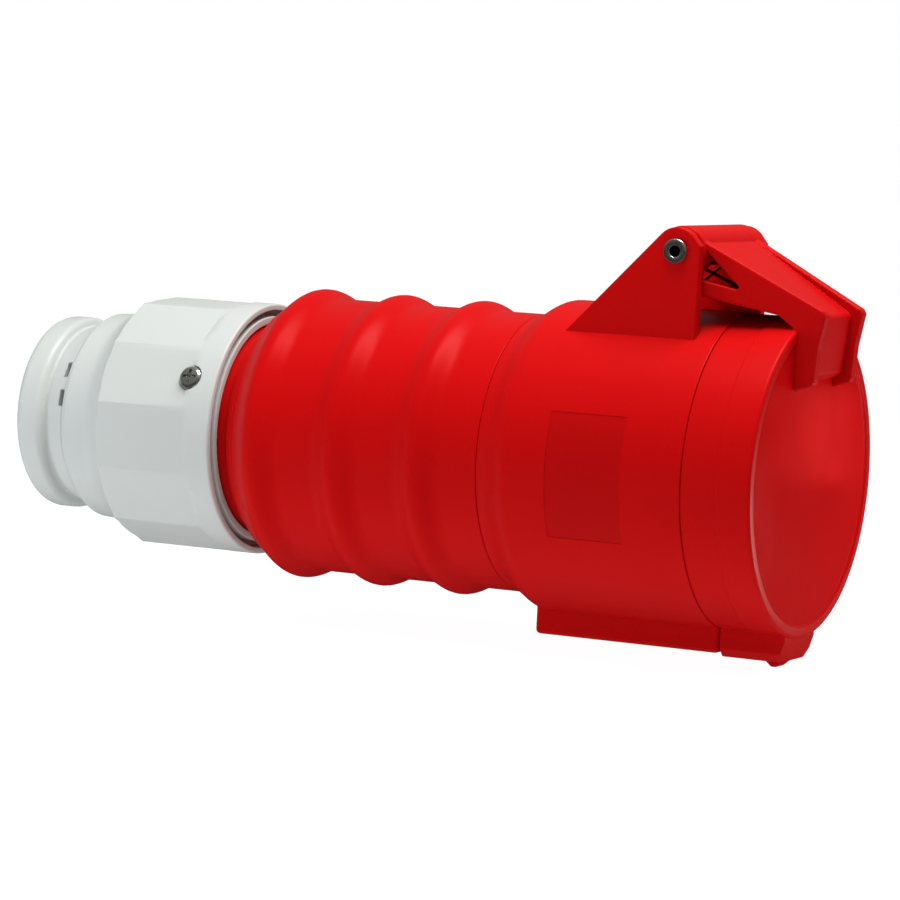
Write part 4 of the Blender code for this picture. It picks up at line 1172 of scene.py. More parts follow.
@dataclass
class RearHandle:
    """Red grip with three ribs, its tongue in the housing and the neck for the gland."""

    tongue_front_x: float = -46.2
    tongue_r: float = 29.4
    tongue_bore: float = 25.5
    groove_x: float = -49.7
    groove_w: float = 2.6
    groove_depth: float = 1.8
    grip_front_x: float = -55.1
    grip_r: float = 32.1
    grip_bore: float = 29.3
    crest_x: float = -70.7
    pitch: float = 20.9
    ribs: int = 3
    rib_rise: float = 2.05
    rib_half: float = 6.0
    grip_rear_x: float = -118.8
    end_drop: float = 1.9
    neck_r: float = 24.6
    neck_bore: float = 20.9
    neck_rear_x: float = -139.0
    ledge_x: float = -133.0
    ledge: float = 2.3
    steps: int = 3
    step_len: float = 1.9

    def profile(self) -> list[Point]:
        """Give the handle's outline before its ribs are raised.

        Returns:
            The outline's points.
        """
        skin = 84
        rows = [(self.grip_front_x + (self.grip_rear_x - self.grip_front_x) * i / skin,
                 self.grip_r, 0.0) for i in range(1, skin)]
        end_r = self.grip_r - self.end_drop
        fall = (end_r - self.neck_r) / self.steps
        ends = []
        for step in range(self.steps):
            x = self.grip_rear_x - step * self.step_len
            if step:
                ends.append((x, end_r - fall * step, 0.35))
            ends.append((x, end_r - fall * (step + 1), 0.25))
        floor = self.tongue_r - self.groove_depth
        corners = [
            (self.tongue_front_x, self.tongue_r, 0.5), (self.groove_x, self.tongue_r, 0.2),
            (self.groove_x, floor, 0.2), (self.groove_x - self.groove_w, floor, 0.2),
            (self.groove_x - self.groove_w, self.tongue_r, 0.2),
            (self.grip_front_x, self.tongue_r, 0.3), (self.grip_front_x, self.grip_r, 0.2),
            *rows, (self.grip_rear_x, self.grip_r, 0.0), *ends,
            (self.neck_rear_x, self.neck_r, 0.8), (self.neck_rear_x, self.neck_bore, 0.3),
            (self.ledge_x, self.neck_bore, 0.2),
            (self.ledge_x, self.neck_bore - self.ledge, 0.4),
            (self.grip_rear_x - 2.0, self.neck_bore - self.ledge, 2.0),
            (self.crest_x - (self.ribs - 1) * self.pitch, self.grip_bore, 4.0),
            (self.grip_front_x - 5.0, self.grip_bore, 1.5),
            (self.grip_front_x - 2.0, self.tongue_bore, 1.5),
            (self.tongue_front_x, self.tongue_bore, 0.4)]
        return round_corners(corners)

    def build(self) -> None:
        """Build the handle."""
        handle = lathe("handle_grip", self.profile())
        rib_rule(RED).apply(handle, {
            "First Crest": self.crest_x * MM, "Pitch": self.pitch * MM,
            "Last Rib": self.ribs - 1, "Half Width": self.rib_half * MM,
            "Rise": self.rib_rise * MM, "End Drop": self.end_drop * MM,
            "Skin Radius": (self.grip_r - 0.25) * MM})
        handle.dress(RED, Body.SOCKET, "rear_handle")


@dataclass
class SprungLid:
    """Red cap: skirt, sunk face, key bump with its nub, hinge barrel, arms and web."""

    face_x: float = FACE_X
    field_depth: float = 0.5
    rim_w: float = RIM_W
    head_r: float = HEAD_R
    band: float = 8.0
    band_step: float = 0.25
    skirt_rear_x: float = -3.5
    skirt_bore: float = 34.5
    inside_x: float = 10.6
    seat_x: float = 6.3
    seat_bore: float = 30.1
    key_half: float = 8.7
    key_r: float = 41.2
    key_chamfer: float = 2.0
    key_setback: float = 0.9
    key_rake: float = 1.6
    key_room_half: float = 7.2
    key_room_r: float = 39.3
    nub_x: float = 7.1
    nub_len: float = 4.0
    nub_half: float = 2.5
    nub_height: float = 1.7
    pin_x: float = PIN_X
    pin_z: float = PIN_Z
    pin_bore: float = PIN_BORE
    ear_front: float = EAR_FRONT
    barrel_r: float = 5.6
    barrel_half: float = 16.8
    barrel_inner: float = 11.5
    coil_room: float = 3.95
    roof_degs: Point = (-8.0, 118.0)
    arm_t: float = 3.0
    arm_edge: float = 0.55
    splay: float = ARM_SPLAY
    reach: float = 6.1
    lean: float = 1.5
    knee: float = 6.5
    foot: float = 16.0
    foot_rise: float = 1.5
    root: float = 1.45
    nose_drop: float = 1.95
    window_tip: Point = (8.5, 4.9)
    window_heel: Point = (-1.5, 3.7)
    window_back: Point = (-1.2, -1.9)
    window_top: Point = (-1.0, 1.1)
    web_drop: float = 0.3
    web_sink: float = 2.4
    web_t: float = 2.0
    bar_t: float = 2.2
    bar_low: float = 0.5
    bar_setback: float = 4.6
    bar_rise: float = BAR_RISE
    gasket_x: float = 4.0
    gasket_t: float = 2.0
    gasket_r: float = 34.2
    gasket_w: float = 3.8

    def inner(self) -> list[Point]:
        """Give the outline of the room inside the cap, a little longer than the skirt.

        Returns:
            The outline's points.
        """
        rear = self.skirt_rear_x - PAST
        return [(self.inside_x, 0.0), (self.inside_x, self.seat_bore),
                (self.seat_x, self.seat_bore), (self.seat_x, self.skirt_bore),
                (rear, self.skirt_bore), (rear, 0.0)]

    def cap(self) -> Form:
        """Turn the cap: a sunk face inside a raised rim, and a skirt with a proud band.

        Returns:
            The cap.
        """
        band_x = self.face_x - self.band
        field_x = self.face_x - self.field_depth
        field_r = self.head_r - self.rim_w
        corners = [
            (field_x, field_r - 8.0, 0.0), (field_x, field_r, 0.25),
            (self.face_x, field_r + self.field_depth, 0.2), (self.face_x, self.head_r, 0.8),
            (band_x, self.head_r, 0.12), (band_x, self.head_r - self.band_step, 0.08),
            (self.skirt_rear_x, self.head_r - self.band_step, 0.2),
            (self.skirt_rear_x, self.skirt_bore, 0.35), (self.seat_x, self.skirt_bore, 0.3),
            (self.seat_x, self.seat_bore, 0.3), (self.inside_x, self.seat_bore, 0.6),
            (self.inside_x, self.seat_bore - 6.0, 0.0)]
        profile = [(field_x, 0.0), *round_corners(corners), (self.inside_x, 0.0)]
        return lathe("lid_cap", profile, WIDE)

    def key_room(self) -> Form:
        """Make the cutter of the room for the collar's keyway bump."""
        return block("key_room",
                     (self.skirt_rear_x - PAST, -self.key_room_half, -self.key_room_r),
                     (self.seat_x, self.key_room_half, -self.skirt_bore * 0.85))

    def key(self) -> Form:
        """Make the hollow bump below the skirt, with a raked front and chamfered sides.

        Returns:
            The bump.
        """
        top = -self.skirt_bore * 0.9
        front = self.face_x - self.key_setback
        rake = self.key_rake * (1 + PAST / (self.key_r - self.head_r))
        side = [(self.skirt_rear_x, top), (self.skirt_rear_x, -self.key_r - PAST),
                (front - rake, -self.key_r - PAST), (front, -self.head_r),
                (self.inside_x + 1.0, top)]
        key = plate("lid_key", [side], 3 * self.key_half, beside(0.0))
        foot = self.key_half - self.key_chamfer
        low = -self.key_r + self.key_chamfer
        section = round_corners([
            (-self.key_half, top + 1.0, 0.0), (-self.key_half, low, 0.8),
            (-foot, -self.key_r, 0.8), (foot, -self.key_r, 0.8), (self.key_half, low, 0.8),
            (self.key_half, top + 1.0, 0.0)])
        key.keep_within(plate("key_section", [section], 4 * self.band, across(0.0)))
        return key.cut(lathe("key_inside", self.inner(), WIDE), self.key_room())

    def nub(self) -> Form:
        """Make the small nub below the key bump.

        Returns:
            The nub.
        """
        low = -self.key_r
        half = self.nub_len / 2
        outline = round_corners([
            (self.nub_x + half, low + 1.0, 0.0), (self.nub_x - half, low + 1.0, 0.0),
            (self.nub_x - half, low - self.nub_height * 0.3, 0.3),
            (self.nub_x - half * 0.3, low - self.nub_height, 0.5),
            (self.nub_x + half * 0.3, low - self.nub_height, 0.5),
            (self.nub_x + half, low - self.nub_height * 0.3, 0.3)])
        return plate("lid_nub", [outline], 2 * self.nub_half, beside(0.0), 0.3)

    def barrel(self) -> Form:
        """Make the hinge barrel: two knuckles on the pin, with the spring's room between.

        Returns:
            The barrel.
        """
        outer, bore = self.barrel_r, self.pin_bore
        profile = []
        for side in (1.0, -1.0):
            end, inner = self.barrel_half * side, self.barrel_inner * side
            ring = [(end, bore, 0.3), (end, outer, 0.5), (inner, outer, 0.0),
                    (inner, self.coil_room, 0.0), (inner + 0.6 * side, bore, 0.0)]
            profile.append(lathe(f"knuckle_{int(side)}", round_corners(ring), 64))
        first, last = self.roof_degs
        roof = arc((self.pin_x, self.pin_z), outer, first, last, 28)
        roof += arc((self.pin_x, self.pin_z), self.coil_room, last, first, 28)
        span = plate("barrel_roof", [roof], 2 * self.barrel_inner + 0.4, beside(0.0))
        turn = Matrix.Translation((self.pin_x * MM, 0.0, self.pin_z * MM))
        turn = turn @ Matrix.Rotation(math.pi / 2, 4, "Z")
        knuckles = [part.placed(turn) for part in profile]
        return span.add(*knuckles)

    def line(self) -> tuple[Point, Point, float]:
        """Give the arms' upper edge.

        Returns:
            Its rear point, its front point and its slope.
        """
        rear = (self.pin_x + 1.1, self.pin_z + self.barrel_r - 1.2)
        front = (self.face_x + self.reach - 0.6, self.head_r + self.nose_drop)
        return rear, front, (front[1] - rear[1]) / (front[0] - rear[0])

    def arm(self, side: int) -> Form:
        """Make one splayed arm with its three-cornered window.

        Args:
            side: -1 for the near arm, 1 for the far one.

        Returns:
            The arm.
        """
        rear, front, _ = self.line()
        nose = self.face_x + self.reach
        low = self.head_r + self.bar_low
        foot_z = self.head_r - self.foot
        inside = self.face_x - self.root
        outline = round_corners([
            (*rear, 0.0), (rear[0], low + self.bar_rise + self.bar_low, 0.0),
            (self.face_x - self.bar_setback - 0.2, low, 0.6),
            (inside, self.head_r - 2.0, 0.0), (inside, foot_z, 0.0),
            (self.face_x - 0.4, foot_z, 0.3),
            (nose - self.lean - 0.5, foot_z + self.foot_rise, 1.2),
            (nose - self.lean, self.head_r - self.knee, 3.0),
            (nose, front[1] - 1.0, 0.9), (*front, 0.9)])
        ahead = self.pin_x + self.ear_front
        window = round_corners([
            (ahead + x, above + z, radius) for (x, z), above, radius in (
                (self.window_tip, low, 0.4), (self.window_heel, low + self.bar_rise, 0.4),
                (self.window_back, self.pin_z, 0.3), (self.window_top, self.pin_z, 0.4))])
        middle = side * (self.barrel_half - 0.1 - self.arm_t / 2)
        lean = Matrix.Identity(4)
        lean[1][0] = -side * self.splay
        stand = lean @ beside(middle + side * self.splay * self.pin_x)
        return plate(f"arm_{side}", [outline, window], self.arm_t, stand, self.arm_edge)

    def webs(self) -> tuple[Form, Form]:
        """Make the sunk web between the arms and the bar that the spring presses on.

        Returns:
            The web and the bar.
        """
        rear, _, slope = self.line()

        def under(x: float, drop: float) -> Corner:
            """Give a point below the arms' upper edge."""
            return x, rear[1] + slope * (x - rear[0]) - drop, 0.0

        half = self.barrel_half - self.arm_t
        inside = self.face_x - self.root
        turn_x = self.face_x + self.reach - 2.6
        foot_z = self.head_r - self.foot + 2.0
        over = under(turn_x, self.web_sink)
        sheet = round_corners([
            under(rear[0], self.web_drop), under(rear[0], self.web_drop + self.web_t),
            under(inside, self.web_sink + self.web_t),
            (inside, self.head_r - 3.0, 0.0), (inside, foot_z, 0.0),
            (self.face_x - 0.4, foot_z, 0.3), (turn_x - 1.6, foot_z + self.foot_rise, 1.2),
            (turn_x - 0.9, self.head_r - self.knee, 2.0), (over[0], over[1], 1.6),
            (*under(self.pin_x + self.ear_front, self.web_drop)[:2], 12.0)])
        narrow = half - self.splay * (self.face_x - self.pin_x) + 0.5
        wide = half + 0.5
        web = plate("arm_web", [sheet], 2 * wide, beside(0.0))
        bar_low = self.head_r + self.bar_low
        bar_rear, bar_front = self.pin_x + self.ear_front, self.face_x - self.bar_setback
        strip = [(bar_front, bar_low + 0.2), (bar_front, bar_low + self.bar_t),
                 (bar_rear, bar_low + self.bar_t + self.bar_rise),
                 (bar_rear, bar_low + self.bar_rise + 0.2)]
        bar = plate("arm_bar", [strip], 2 * wide, beside(0.0), 0.0)
        back, nose = self.pin_x - self.barrel_r, self.face_x + self.reach
        plan = [(back, -wide), (self.pin_x + 2.0, -wide), (nose, -narrow), (nose, narrow),
                (self.pin_x + 2.0, wide), (back, wide)]
        bounds = [plate("arm_bound", [plan], 60.0, Matrix.Translation((0, 0, self.head_r)))
                  for _ in range(2)]
        return web.keep_within(bounds[0]), bar.keep_within(bounds[1])

    def build(self) -> None:
        """Build the lid."""
        cap = self.cap().cut(self.key_room())
        cap.add(self.key(), self.nub(), self.barrel(), self.arm(-1), self.arm(1), *self.webs())
        cap.object.name = "lid_body"
        cap.dress(RED_LID, Body.LID, "lid")
        front, inner = self.gasket_x + self.gasket_t, self.gasket_r - self.gasket_w
        ring = round_corners([(front, self.gasket_r, 0.3), (self.gasket_x, self.gasket_r, 0.6),
                              (self.gasket_x, inner, 0.6), (front, inner, 0.3)])
        lathe("lid_gasket_ring", ring).dress(RUBBER, Body.LID, "lid_gasket")


@dataclass
class Hinge:
    """Tubular rivet through the ears and the torsion spring on it."""

    pin_x: float = PIN_X
    pin_z: float = PIN_Z
    pin_r: float = 1.9
    hole_r: float = 1.25
    head_r: float = 2.8
    head_t: float = 0.7
    seat: float = 20.1
    head_radius: float = HEAD_R
    wire_r: float = 0.4
    coil_r: float = 3.0
    coil_half: float = 8.0
    turns: int = 14
    first_deg: float = 246.0
    short_deg: float = 30.0
    bar_top: float = 38.7
    bar_rise: float = BAR_RISE
    bar_rear_x: float = -8.7
    bar_front_x: float = 8.4
    leg_reach: float = 6.0
    tail: float = 12.0

    def pin(self) -> Form:
        """Turn the rivet, with a rolled head at each end.

        Returns:
            The rivet.
        """
        corners = []
        for side in (1.0, -1.0):
            end = self.seat + self.head_t
            head = [(end, self.hole_r, 0.3), (end, self.head_r, 0.45),
                    (self.seat, self.head_r, 0.15), (self.seat, self.pin_r, 0.0)]
            head = [(side * x, r, rounding) for x, r, rounding in head]
            corners += head if side > 0 else head[::-1]
        pin = lathe("hinge_rivet", round_corners(corners), SMALL)
        turn = Matrix.Translation((self.pin_x * MM, 0.0, self.pin_z * MM))
        return pin.placed(turn @ Matrix.Rotation(math.pi / 2, 4, "Z"))

    def spring(self) -> Form:
        """Wind the spring: one leg on the lid's bar and one on the head.

        Returns:
            The spring.
        """
        slope = self.bar_rise / (self.bar_front_x - self.bar_rear_x)
        tip_z = self.bar_top + self.bar_rise - slope * self.leg_reach + self.wire_r + GAP
        path = [(self.bar_rear_x + self.leg_reach, -self.coil_half, tip_z)]
        sweep = 2 * math.pi * self.turns - math.radians(self.short_deg)
        count = self.turns * 30
        for index in range(count + 1):
            share = index / count
            angle = math.radians(self.first_deg) - sweep * share
            path.append((self.pin_x + self.coil_r * math.cos(angle),
                         self.coil_half * (2 * share - 1),
                         self.pin_z + self.coil_r * math.sin(angle)))
        rest_z = math.sqrt(self.head_radius ** 2 - self.coil_half ** 2) + self.wire_r + GAP
        path.append((self.pin_x - self.tail, self.coil_half, rest_z))
        mesh = bmesh.new()
        points = [mesh.verts.new(Vector(point) * MM) for point in path]
        for first, second in zip(points, points[1:]):
            mesh.edges.new((first, second))
        wire = Form("spring_wire", mesh)
        return wire_rule(SPRING_STEEL).apply(wire, {"Wire Radius": self.wire_r * MM})

    def build(self) -> None:
        """Build the rivet and the spring."""
        self.pin().dress(STEEL, Body.SOCKET, "hinge_pin")
        ends = [(self.pin_x * MM, side * self.coil_half * MM, self.pin_z * MM) for side in (1, -1)]
        self.spring().dress(SPRING_STEEL, Body.SOCKET, "lid_spring", crease=60.0,
                            bend=Bend(Body.LID, ends[0], ends[1]))


@dataclass
class ContactInsert:
    """Black insert with its brass contacts, back plate, screws and seal ring."""

    radius: float = 27.3
    face_t: float = 4.0
    wall: float = 2.2
    flange_front_x: float = -39.6
    flange_rear_x: float = -42.6
    flange_r: float = 29.4
    plate_front_x: float = -42.9
    plate_rear_x: float = -45.9
    circle: float = 17.6
    line_pin: float = 2.5
    earth_pin: float = 3.5
    sleeve_wall: float = 1.3
    sleeve_x: float = -3.3
    sleeve_depth: float = 27.0
    entry_x: float = -3.0
    entry_chamfer: float = 0.7
    root_x: float = -2.0
    tower_wall: float = 1.5
    pin_slack: float = 0.1
    line_degs: Point = (198.0, -72.0)
    earth_deg: float = 270.0
    boss_degs: Point = (306.0, 144.0)
    boss_circle: float = 20.0
    boss_r: float = 3.2
    boss_bore: float = 1.7
    boss_depth: float = 9.0
    block_len: float = 17.0
    block_step: float = 0.8
    wire_bore: float = 2.1
    wire_depth: float = 10.0
    screw_x: float = -57.2
    screw_bore: float = 1.8
    screw_r: float = 1.5
    screw_head_r: float = 2.4
    screw_head_t: float = 1.5
    screw_stop: float = 0.84
    fixing_r: float = 1.4
    fixing_head_r: float = 2.6
    fixing_head_t: float = 1.7
    fixing_len: float = 11.6
    ring_x: float = -51.0
    ring_radius: float = 28.65
    ring_t: float = 1.5

    def groups(self) -> tuple[tuple[float, int, float], ...]:
        """Give each group of contacts: its pin's radius, its count and its first angle."""
        return (self.line_pin, 4, self.line_degs[0]), (self.earth_pin, 1, self.earth_deg)

    def around(self, form: Form, finish: Finish, count: int, first: float) -> Form:
        """Repeat a form at the contacts of one group."""
        return repeat(form, finish, count, first, self.line_degs[1], self.circle)

    def at_bosses(self, form: Form, finish: Finish) -> Form:
        """Repeat a form at the three screw bosses."""
        return repeat(form, finish, 3, *self.boss_degs, self.boss_circle)

    def sleeve_r(self, pin: float) -> float:
        """Give a sleeve's outer radius from its pin's."""
        return pin + self.pin_slack + self.sleeve_wall

    def carrier(self) -> Form:
        """Build the insert: face, wall, flange, towers, bosses and entry holes.

        Returns:
            The insert.
        """
        corners = [
            (0.0, self.radius - 6.0, 0.0), (0.0, self.radius, 0.6),
            (self.flange_front_x, self.radius, 0.2), (self.flange_front_x, self.flange_r, 0.3),
            (self.flange_rear_x, self.flange_r, 0.3),
            (self.flange_rear_x, self.radius - self.wall, 0.2),
            (-self.face_t, self.radius - self.wall, 0.5),
            (-self.face_t, self.radius - self.wall - 3.0, 0.0)]
        profile = [(0.0, 0.0), *round_corners(corners), (-self.face_t, 0.0)]
        carrier = lathe("insert_body", profile)
        holes, towers = [], []
        for pin, count, first in self.groups():
            entry = pin + GAP
            room = self.sleeve_r(pin) + GAP
            mouth, seat_x = entry + self.entry_chamfer, self.entry_x
            outline = [(PAST, 0.0), (PAST, mouth), (0.0, mouth), (-self.entry_chamfer, entry),
                       (seat_x, entry), (seat_x, room), (self.flange_rear_x - PAST, room),
                       (self.flange_rear_x - PAST, 0.0)]
            holes.append(self.around(lathe("entry", outline, SMALL), BLACK, count, first))
            wall = room + self.tower_wall
            tube = [(self.root_x, room - 0.5), (self.root_x, wall),
                    (self.flange_rear_x, wall), (self.flange_rear_x, room), (-3.2, room)]
            towers.append(self.around(lathe("tower", tube, SMALL), BLACK, count, first))
        floor_x = self.flange_rear_x + self.boss_depth
        boss = [(self.root_x, 0.0), (self.root_x, self.boss_r),
                (self.flange_rear_x, self.boss_r),
                (self.flange_rear_x, self.boss_bore), (floor_x, self.boss_bore), (floor_x, 0.0)]
        bosses = self.at_bosses(lathe("boss", boss, 32), BLACK)
        return carrier.cut(*holes).add(*towers, bosses)

    def contact(self, name: str, pin: float, count: int, first: float) -> Form:
        """Turn contacts: a sleeve in front and a terminal block behind.

        Args:
            name: The piece's name.
            pin: Radius of the pin that it takes.
            count: How many there are.
            first: Angle of the first, in degrees.

        Returns:
            The contacts.
        """
        bore = pin + self.pin_slack
        outer = bore + self.sleeve_wall
        front, block_x = self.sleeve_x, self.plate_rear_x - GAP
        rear = block_x - self.block_len
        floor_x, wire_x = front - self.sleeve_depth, rear + self.wire_depth
        corners = [
            (floor_x, bore - 1.5, 0.0), (floor_x, bore, 0.3), (front, bore, 0.35),
            (front, outer, 0.4), (block_x, outer, 0.2), (block_x, outer + self.block_step, 0.3),
            (rear, outer + self.block_step, 0.4), (rear, self.wire_bore, 0.4),
            (wire_x, self.wire_bore, 0.0), (wire_x, 1.0, 0.0)]
        profile = [(floor_x, 0.0), *round_corners(corners), (wire_x, 0.0)]
        single = lathe(name, profile, SMALL)
        reach = outer + self.block_step + 2 * PAST
        bore_screw = lathe("terminal_bore", [(0.0, 0.0), (0.0, self.screw_bore),
                                             (reach, self.screw_bore), (reach, 0.0)], 24)
        stand = Matrix.Translation((self.screw_x * MM, 0.0, 0.0))
        single.cut(bore_screw.placed(stand @ Matrix.Rotation(math.pi / 2, 4, "Z")))
        return self.around(single, BRASS, count, first)

    def back(self) -> Form:
        """Turn the back plate and drill it for the contacts and screws.

        Returns:
            The back plate.
        """
        profile = round_corners([
            (self.plate_front_x, 0.0, 0.0), (self.plate_front_x, self.flange_r, 0.3),
            (self.plate_rear_x, self.flange_r, 0.3), (self.plate_rear_x, 0.0, 0.0)])
        back = lathe("insert_back", profile)
        cuts = [self.around(self.drill(self.sleeve_r(pin) + GAP), BLACK, count, first)
                for pin, count, first in self.groups()]
        return back.cut(*cuts, self.at_bosses(self.drill(self.boss_bore), BLACK))

    def drill(self, radius: float) -> Form:
        """Turn the cutter of one hole through the back plate."""
        front, rear = self.plate_front_x + PAST, self.plate_rear_x - PAST
        return lathe("drill", [(front, 0.0), (front, radius), (rear, radius), (rear, 0.0)],
                     SMALL)

    def build(self) -> None:
        """Build the insert and everything that it holds."""
        self.carrier().dress(BLACK, Body.SOCKET, "contact_carrier")
        self.back().dress(BLACK, Body.SOCKET, "carrier_back")
        ends = (range(1, 5), ("earth",))
        names = ("line_contacts", "earth_contact_sleeve")
        for (pin, count, first), name, tags in zip(self.groups(), names, ends):
            self.contact(name, pin, count, first).dress(
                BRASS, Body.SOCKET, *(f"contact_{tag}" for tag in tags))
        names = ("line_terminal_screws", "earth_terminal_screw")
        for (pin, count, first), name, tags in zip(self.groups(), names, ends):
            seat = self.circle + self.sleeve_r(pin) + self.block_step + GAP
            screw = PanHead(self.screw_r, self.screw_head_r, self.screw_head_t,
                            seat - self.circle - self.screw_stop).form(name)
            place = Matrix.Translation((self.screw_x * MM, seat * MM, 0.0))
            screw.placed(place @ Matrix.Rotation(math.pi / 2, 4, "Z"))
            repeat(screw, STEEL, count, first, self.line_degs[1]).dress(
                STEEL, Body.SOCKET, *(f"terminal_screw_{tag}" for tag in tags))
        screw = PanHead(self.fixing_r, self.fixing_head_r, self.fixing_head_t,
                        self.fixing_len).form("insert_screws")
        place = Matrix.Translation(((self.plate_rear_x - GAP) * MM, 0.0, 0.0))
        screw.placed(place @ Matrix.Rotation(math.pi, 4, "Z"))
        self.at_bosses(screw, STEEL).dress(
            STEEL, Body.SOCKET, *(f"carrier_screw_{end}" for end in range(1, 4)))
        ring = arc((self.ring_x, self.ring_radius), self.ring_t / 2, 0.0, 360.0, 20)[:-1]
        lathe("tongue_seal_ring", ring).dress(RUBBER, Body.SOCKET, "housing_seal")


@dataclass
class PanHead:
    """Pan head screw with a cross recess, modelled with its seat at 0 and its head on +X."""

    shank_r: float
    head_r: float
    head_t: float
    length: float
    dome: float = 0.12
    crown: float = 0.72
    recess_reach: float = 0.62
    recess_half: float = 0.14
    recess_floor: float = 0.4

    def form(self, name: str) -> Form:
        """Build the screw.

        Args:
            name: The piece's name.

        Returns:
            The screw.
        """
        top = [(self.head_t * (1 - self.dome * share ** 2),
                self.head_r * self.crown * share, 0.0)
               for share in (0.25, 0.5, 0.75)]
        corners = [*top, (self.head_t * 0.86, self.head_r * 0.8, 0.2),
                   (self.head_t * 0.5, self.head_r, 0.35), (0.0, self.head_r, 0.12),
                   (0.0, self.shank_r, 0.1), (-self.length, self.shank_r, 0.3),
                   (-self.length, self.shank_r * 0.4, 0.0)]
        profile = [(self.head_t, 0.0), *round_corners(corners, 3), (-self.length, 0.0)]
        screw = lathe(name, profile, 36)
        arm = self.head_r * self.recess_reach
        thin = self.head_r * self.recess_half
        for half_y, half_z in ((arm, thin), (thin, arm)):
            screw.cut(block("recess", (self.head_t * self.recess_floor, -half_y, -half_z),
                            (self.head_t * 1.5, half_y, half_z)))
        return screw


@dataclass
class CableGland:
    """Grey cap nut and bell, lock screw, and the seal, washer and collet inside."""

    front_x: float = -125.6
    nut_r: float = 29.8
    flat_r: float = 28.8
    flats: int = 12
    rim_len: float = 4.9
    ramp_len: float = 3.0
    grip_end_x: float = -156.5
    curve_len: float = 7.0
    rear_x: float = -169.3
    body_r: float = 24.9
    tail_edge: float = 1.4
    mouth_r: float = 17.0
    wall_x: float = -165.0
    bore: float = 21.2
    thread_r: float = 25.0
    thread_len: float = 17.4
    cone_len: float = 3.5
    lip_r: float = 26.815
    lip_w: float = 1.5
    lip_depth: float = 3.6
    screw_at: float = 7.2
    screw_deg: float = 26.0
    screw_r: float = 1.5
    screw_head_r: float = 2.8
    screw_head_t: float = 1.4
    screw_sink: float = 0.3
    cable_r: float = 7.5
    slack: float = 1.5
    seal_front_x: float = -133.3
    seal_len: float = 11.7
    seal_r: float = 20.6
    washer_t: float = 1.5
    collet_straight: float = 7.9
    collet_len: float = 14.9
    collet_band: float = 4.0
    collet_fall: float = 3.4
    collet_flare: float = 2.5
    slit: float = 1.2
    slits: int = 6
    catch_len: float = 2.2
    catch_rise: float = 1.8
    bell_root_r: float = 22.9
    bell_waist_x: float = -175.4
    bell_waist_r: float = 20.7
    bell_flange_r: float = 23.1
    bell_rear_x: float = -182.9
    bell_bore: float = 14.2
    slot_degs: Point = (13.0, 31.0)
    slot_w: float = 1.4
    slot_len: float = 4.0
    slot_depth: float = 4.4
    slot_back: float = 0.9

    def screw_axis(self) -> Matrix:
        """Give the turn that takes +Y to the lock screw's direction."""
        return Matrix.Rotation(math.radians(180.0 - self.screw_deg), 4, "X")

    def nut(self) -> Form:
        """Build the nut: turned body, flats, mouth recess and lock screw hole.

        Returns:
            The nut.
        """
        front, end = self.front_x, self.grip_end_x
        curve = []
        for index in range(1, 10):
            share = index / 10
            radius = self.flat_r - (self.flat_r - self.body_r) * math.sin(share * math.pi / 2)
            curve.append((end - share * self.curve_len, radius, 0.0))
        cone_x = front - self.thread_len - self.cone_len
        corners = [
            (front, self.nut_r, 0.6), (front - self.rim_len, self.nut_r, 0.0),
            (front - self.rim_len - self.ramp_len * 0.5, self.nut_r, 0.0),
            (front - self.rim_len - self.ramp_len, self.nut_r, 0.0),
            (end + 0.5, self.nut_r, 0.0), (end, self.flat_r, 0.4), *curve,
            (end - self.curve_len, self.body_r, 0.0),
            (self.rear_x + self.tail_edge, self.body_r - 0.3, 1.0),
            (self.rear_x, self.body_r - self.tail_edge, 0.3), (self.rear_x, self.mouth_r, 0.3),
            (self.wall_x, self.mouth_r, 0.2), (self.wall_x, self.bore, 0.5),
            (cone_x, self.bore, 0.5), (front - self.thread_len, self.thread_r, 0.4),
            (front, self.thread_r, 0.5), (front, self.lip_r, 0.15),
            (front - self.lip_depth, self.lip_r, 0.2),
            (front - self.lip_depth, self.lip_r + self.lip_w, 0.2),
            (front, self.lip_r + self.lip_w, 0.15)]
        step = 360.0 / self.flats
        centre = 180.0 - self.screw_deg
        phase = (centre + step / 2) % (360.0 / ROUND)
        nut = lathe("nut_body", round_corners(corners), phase=phase)
        flat_rule(GREY).apply(nut, {
            "Flat Angle": math.radians(centre), "Half Step": math.radians(step / 2),
            "Ramp Start": (front - self.rim_len) * MM,
            "Ramp End": (front - self.rim_len - self.ramp_len) * MM,
            "Rim Reach": (self.nut_r + 0.5) * MM, "Flat Reach": self.flat_r * MM})
        cuts = []
        for radius, first, last in (
                (self.screw_head_r + GAP, self.flat_r - self.screw_sink, self.nut_r + PAST),
                (self.screw_r + GAP, self.thread_r * 0.95, self.nut_r + PAST)):
            drill = lathe("drill", [(first, 0.0), (first, radius), (last, radius), (last, 0.0)],
                          40)
            turn = self.screw_axis() @ Matrix.Rotation(math.pi / 2, 4, "Z")
            shift = Matrix.Translation(((front - self.screw_at) * MM, 0.0, 0.0))
            cuts.append(drill.placed(shift @ turn))
        return nut.cut(*cuts)

    def lock_screw(self) -> Form:
        """Build the small screw on one flat.

        Returns:
            The screw.
        """
        seat = self.flat_r - self.screw_sink + GAP
        screw = PanHead(self.screw_r, self.screw_head_r, self.screw_head_t,
                        seat - self.thread_r).form("nut_screw")
        place = Matrix.Translation(((self.front_x - self.screw_at) * MM, 0.0, 0.0))
        place = place @ self.screw_axis() @ Matrix.Translation((0.0, seat * MM, 0.0))
        return screw.placed(place @ Matrix.Rotation(math.pi / 2, 4, "Z"))

